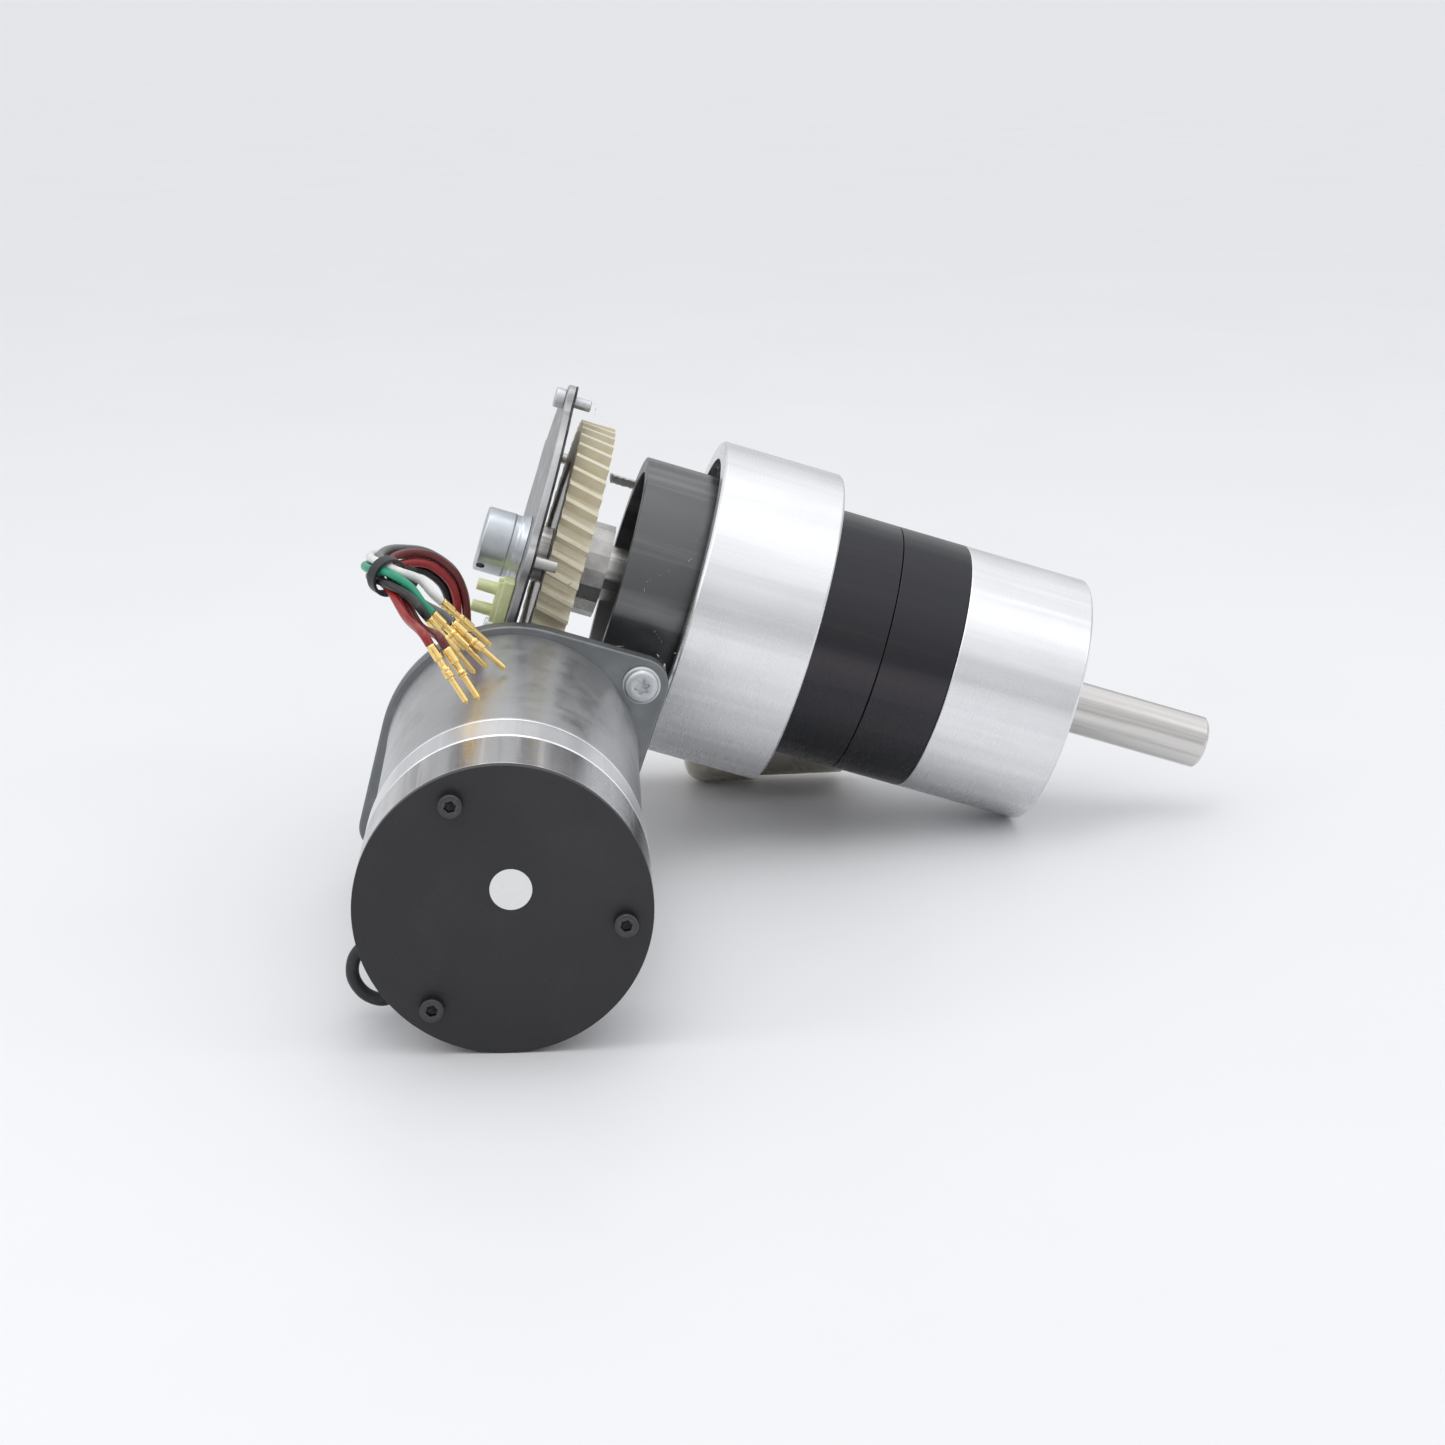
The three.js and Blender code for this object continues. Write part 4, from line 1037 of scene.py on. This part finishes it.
def sector(name, start, end, inner, outer, middle, half):
    """A raised land: a piece of a ring about the output axis."""
    steps = 24
    vertices, faces = [], []
    for i in range(steps + 1):
        degrees = middle - half + 2 * half * i / steps
        for along, radius in ((start, inner), (start, outer), (end, outer), (end, inner)):
            vertices.append((along, *around(degrees, radius)))
    for i in range(steps):
        for k in range(4):
            m = (k + 1) % 4
            faces.append((4 * i + k, 4 * i + m, 4 * i + 4 + m, 4 * i + 4 + k))
    faces += [(0, 1, 2, 3), tuple(4 * steps + k for k in range(4))]
    return shell(name, vertices, faces, GEARBOX)


def window(name, outline, side):
    """A cutter for a cast window: each corner is (x, degrees round the neck)."""
    vertices = []
    for radius in (40, 60):
        for x, degrees in outline:
            y, z = around(degrees, radius)
            vertices.append((x, y * side, z))
    count = len(outline)
    faces = [tuple(range(count)), tuple(range(count, 2 * count))]
    faces += [(i, (i + 1) % count, (i + 1) % count + count, i + count) for i in range(count)]
    return shell(name, vertices, faces, GEARBOX)


outside = rings(
    "housing_body",
    [(-11.4, 0), (-11.4, 58.1), (-11, 58.2), (-10.7, 58.5), (-6.8, 58.5), (-5.5, 57.0),
     *drum_corner(6, DRUM_RADIUS - 5.5, 5.5),
     (11.7, NECK_RADIUS), (41.8, NECK_RADIUS), (42.0, 52.9), (42.2, 53), (43.9, 53), (44, 52.9), (44, 0)],
    GEARBOX, 160,
)
joins = [
    sector("land", 11.2, 42.2, 48.5, 52.6, 0, 23),
    sector("land", 11.2, 42.2, 48.5, 52.2, 180, 20),
    rings(
        "spigot", [(-58.7, 0), (-58.7, eared_outline(37, 37, 8.2)), (-47, eared_outline(37, 37, 8.2)), (-47, 0)],
        WORM_AXIS, 240,
    ),
    rod("tunnel", -50, 46, 20.5, WORM_AXIS, 96),
]
joins += [
    rod("rib", 10.3, 42.6, 1.83, at(GEARBOX, 0, *around(degrees, NECK_RADIUS + 0.37)), 25)
    for degrees in (59.6, -59.6, 120)
]
for degrees in COVER_BOSS_ANGLES:
    wide, end = (4.2, 2.4) if degrees in COVER_DOWEL_ANGLES else (5.2, 0.5)
    joins.append(rod("boss", -11.3, end, wide, at(GEARBOX, 0, *around(degrees, COVER_SCREW_CIRCLE)), 41))
combined(outside, joins, "UNION")
# the cover's seat, with a lip of 0.9 mm left outside the cover's outline
seat = scalloped(DRUM_RADIUS + 1.8, 6.4)
cuts = [
    rings("chamber", [(-12, 0), (-12, 53), (6.5, 53), (6.5, 0)], GEARBOX, 120),
    rings("chamber", [(14, 0), (14, 47.5), (45, 47.5), (45, 0)], GEARBOX, 120),
    rod("chamber", 5, 16, 17, GEARBOX, 64),
    rod("seat_cut", -40, -11.9, 64, GEARBOX, 64),
    rings("seat_cut", [(-40, 0), (-40, seat), (-11, seat), (-11, 0)], GEARBOX, 360),
    rod("worm_bore", -60, 40.5, 10.95, WORM_AXIS, 64),
    rod("worm_mouth", -60, -50, 22.5, WORM_AXIS, 64),
]
cuts += [
    rod("screw_bore", -60, -44, 3.4, at(WORM_AXIS, 0, -side * FLANGE_SCREW[0], side * FLANGE_SCREW[1]), 32)
    for side in (1, -1)
]
cuts += [
    rod("screw_bore", -12, -3, 2.2, at(GEARBOX, 0, *around(degrees, COVER_SCREW_CIRCLE)), 24)
    for degrees in COVER_BOSS_ANGLES
]
WINDOWS = [
    [(28, 31), (28.6, 42.5), (40.8, 56.4), (40.8, 22)],
    [(40.1, 64), (27.8, 78), (28.2, 88.5), (40.8, 101)],
    [(40.7, 22), (40.7, 42), (46, 42), (46, 22)],
    [(40.7, 41.9), (40.7, 61.5), (46, 61.5), (46, 41.9)],
    [(40.7, 61.4), (40.7, 81), (46, 81), (46, 61.4)],
    [(40.7, 80.9), (40.7, 101), (46, 101), (46, 80.9)],
]
cuts += [window("window", outline, side) for outline in WINDOWS for side in (1, -1)]
combined(outside, cuts, "DIFFERENCE")
# One casting with rounded edges.
skin = outside.modifiers.new("casting", "REMESH")
skin.mode, skin.voxel_size = "VOXEL", 0.7 * MM
soft = outside.modifiers.new("soften", "SMOOTH")
soft.factor, soft.iterations = 0.5, 3
less = outside.modifiers.new("lighter", "DECIMATE")
less.ratio = 0.4
baked(outside)
piece(outside, cast_aluminium, ["worm_housing"], sharp=180, weighted=False)

CUP = at(GEARBOX, 0, -31, 5.8)
cup = turned(
    "cup_body",
    [(-29.8, 0), (-29.8, 7.4), (-29.2, 7.8), (-29.2, 9.0), (-29.8, 9.4), (-29.8, 10.6), (-29.2, 11.2), (-20.2, 11.2),
     (-19.8, 11.0), (-18.2, 11.0), (-17.6, 11.2), (-16.8, 11.25), (-14.7, 12), (-14.7, 0)],
    CUP, 0.35, 96,
)
hole_turn = Matrix.Rotation(math.radians(134), 4, "X") @ Matrix.Rotation(math.radians(-90), 4, "Y")
hole_place = CUP @ Matrix.Translation((-27.6, 0, 0)) @ hole_turn
combined(cup, [rod("oval", 8.5, 14, 1.5, hole_place, 24)], "DIFFERENCE")
piece(cup, zinc, ["sensor_cup"], sharp=30)

parts = [block("base", (4, 10.5, 16), (-16.7, -45.8, -10.5), GEARBOX, 0.6)]
for z in (-7, -14.6):
    spot = at(GEARBOX, 0, -45, z)
    parts.append(
        turned(
            "peg",
            [(-17.5, 0), (-17.5, 2.5), (-19.0, 2.5), (-19.0, 2.2), (-27, 2.0), (-27, 1.1), (-24, 1.0), (-24, 0)],
            spot, 0.2, 40,
        )
    )
for y in (-49.6, -42.2):
    parts.append(block("rib", (2.2, 1.0, 14), (-19.0, y, -10.5), GEARBOX, 0.25))
connector = merged("connector_fine", parts)
piece(connector, pale_nylon, ["nylon_connector"])

# ---- the can behind, and its strap -----------------------------------------------------------

CAN = TABLE @ Matrix.Translation((62, 50, 17.05)) @ Matrix.Rotation(-0.03, 4, "Y")
rounded_end = [
    (8 - 8 * math.cos(math.pi / 2 * k / 10), 9 + 8 * math.sin(math.pi / 2 * k / 10)) for k in range(11)
]
can = turned(
    "can_small",
    [(0, 0), *rounded_end, (25.8, 17), (26.6, 16.8), (27.2, 16.2), (27.2, 15.5), (28.4, 15.2),
     (29.2, 15.6), (59.2, 15.6), (60, 15.0),
     (60, 4), (65.6, 4), (66, 3.6), (66, 0)],
    CAN, 0.2, 128,
)
terminal = block("terminal", (2.2, 1.2, 15), (64.5, 0, -8.9), CAN, 0.2)
piece(merged("can_small_body", [can, terminal]), nickel, ["auxiliary_can"], sharp=30)

STRAP = [(6, 53, 30), (24, 53, 30), (44, 53, 30), (60, 53, 35.4), (76, 53, 36.6)]
route = smoothed([Vector(p) for p in STRAP], 10)
vertices, faces = [], []
section = [(-6, -0.7), (-5.7, -1), (5.7, -1), (6, -0.7), (6, 0.7), (5.7, 1), (-5.7, 1), (-6, 0.7)]
for i, point in enumerate(route):
    ahead = (route[min(i + 1, len(route) - 1)] - route[max(i - 1, 0)]).normalized()
    above = Vector((0, -1, 0)).cross(ahead).normalized()
    vertices += [point + Vector((0, 1, 0)) * wide + above * high for wide, high in section]
for i in range(len(route) - 1):
    for k in range(8):
        m = (k + 1) % 8
        faces.append((8 * i + k, 8 * i + m, 8 * i + 8 + m, 8 * i + 8 + k))
faces += [tuple(range(8)), tuple(8 * (len(route) - 1) + k for k in range(8))]
piece(shell("strap_fine", vertices, faces, TABLE), black_plastic, ["auxiliary_bracket"])

# ---- CAD nodes that stay, inside the gearbox and the motor -----------------------------------

KEPT = {
    "output_bearing_rear": hidden_steel, "output_bearing_front": hidden_steel, "carrier_1": hidden_steel,
    "wheel_bearing": hidden_steel, "worm_end_bearing": hidden_steel, "worm_shaft": hidden_steel,
    "rotor": hidden_steel, "stator": copper, "worm_wheel": gear_nylon,
    **{f"planet_{stage}{letter}": hidden_steel for stage in (1, 2) for letter in "abc"},
}
for name, look in KEPT.items():
    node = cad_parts[name]
    for slot in node.material_slots:
        slot.material = look

# ---- floor and light ---------------------------------------------------------------------------

FLOOR_HALF = 150.0
floor = shell(
    "floor",
    [(-FLOOR_HALF, -FLOOR_HALF, 0), (FLOOR_HALF, -FLOOR_HALF, 0),
     (FLOOR_HALF, FLOOR_HALF, 0), (-FLOOR_HALF, FLOOR_HALF, 0)],
    [(0, 1, 2, 3)], Matrix.Identity(4),
)
floor_look = material(
    "floor", (0.80, 0.80, 0.81), 0.5, 0.0, TABLE, mottle=[((0.78, 0.78, 0.79), 160, 0.4, 0.65, 0.5, ROUND)],
    rough_by=(60, 0.05),
)
floor.data.materials.append(floor_look)

world = bpy.data.worlds.new("studio")
bpy.context.scene.world = world
world.use_nodes = True
sky = world.node_tree
background = sky.nodes["Background"]
heading = add(sky, "TexCoord").outputs["Generated"]
rise = add(sky, "SeparateXYZ", {"Vector": heading}).outputs["Z"]
background.inputs["Color"].default_value = (0.97, 0.98, 1.0, 1.0)
sky.links.new(spread(sky, rise, 0.05, 0.9, 0.56, 1.2), background.inputs["Strength"])


def soft_light(name, place, target, width, height, watts):
    light = bpy.data.lights.new(name, "AREA")
    light.shape, light.size, light.size_y, light.energy = "RECTANGLE", width, height, watts
    made = linked(name, light)
    made.location = place
    made.rotation_euler = (Vector(target) - Vector(place)).to_track_quat("-Z", "Y").to_euler()
    made.visible_camera = False


soft_light("overhead", (-0.1, -0.15, 1.3), (0, 0, 0.05), 0.35, 1.4, 2.6)
soft_light("left", (-1.3, -0.5, 0.8), (0, 0, 0.08), 0.35, 0.9, 1.9)
soft_light("right", (1.3, -0.3, 0.9), (0, 0, 0.08), 0.35, 0.9, 1.3)
bpy.context.scene.view_settings.view_transform = "Standard"
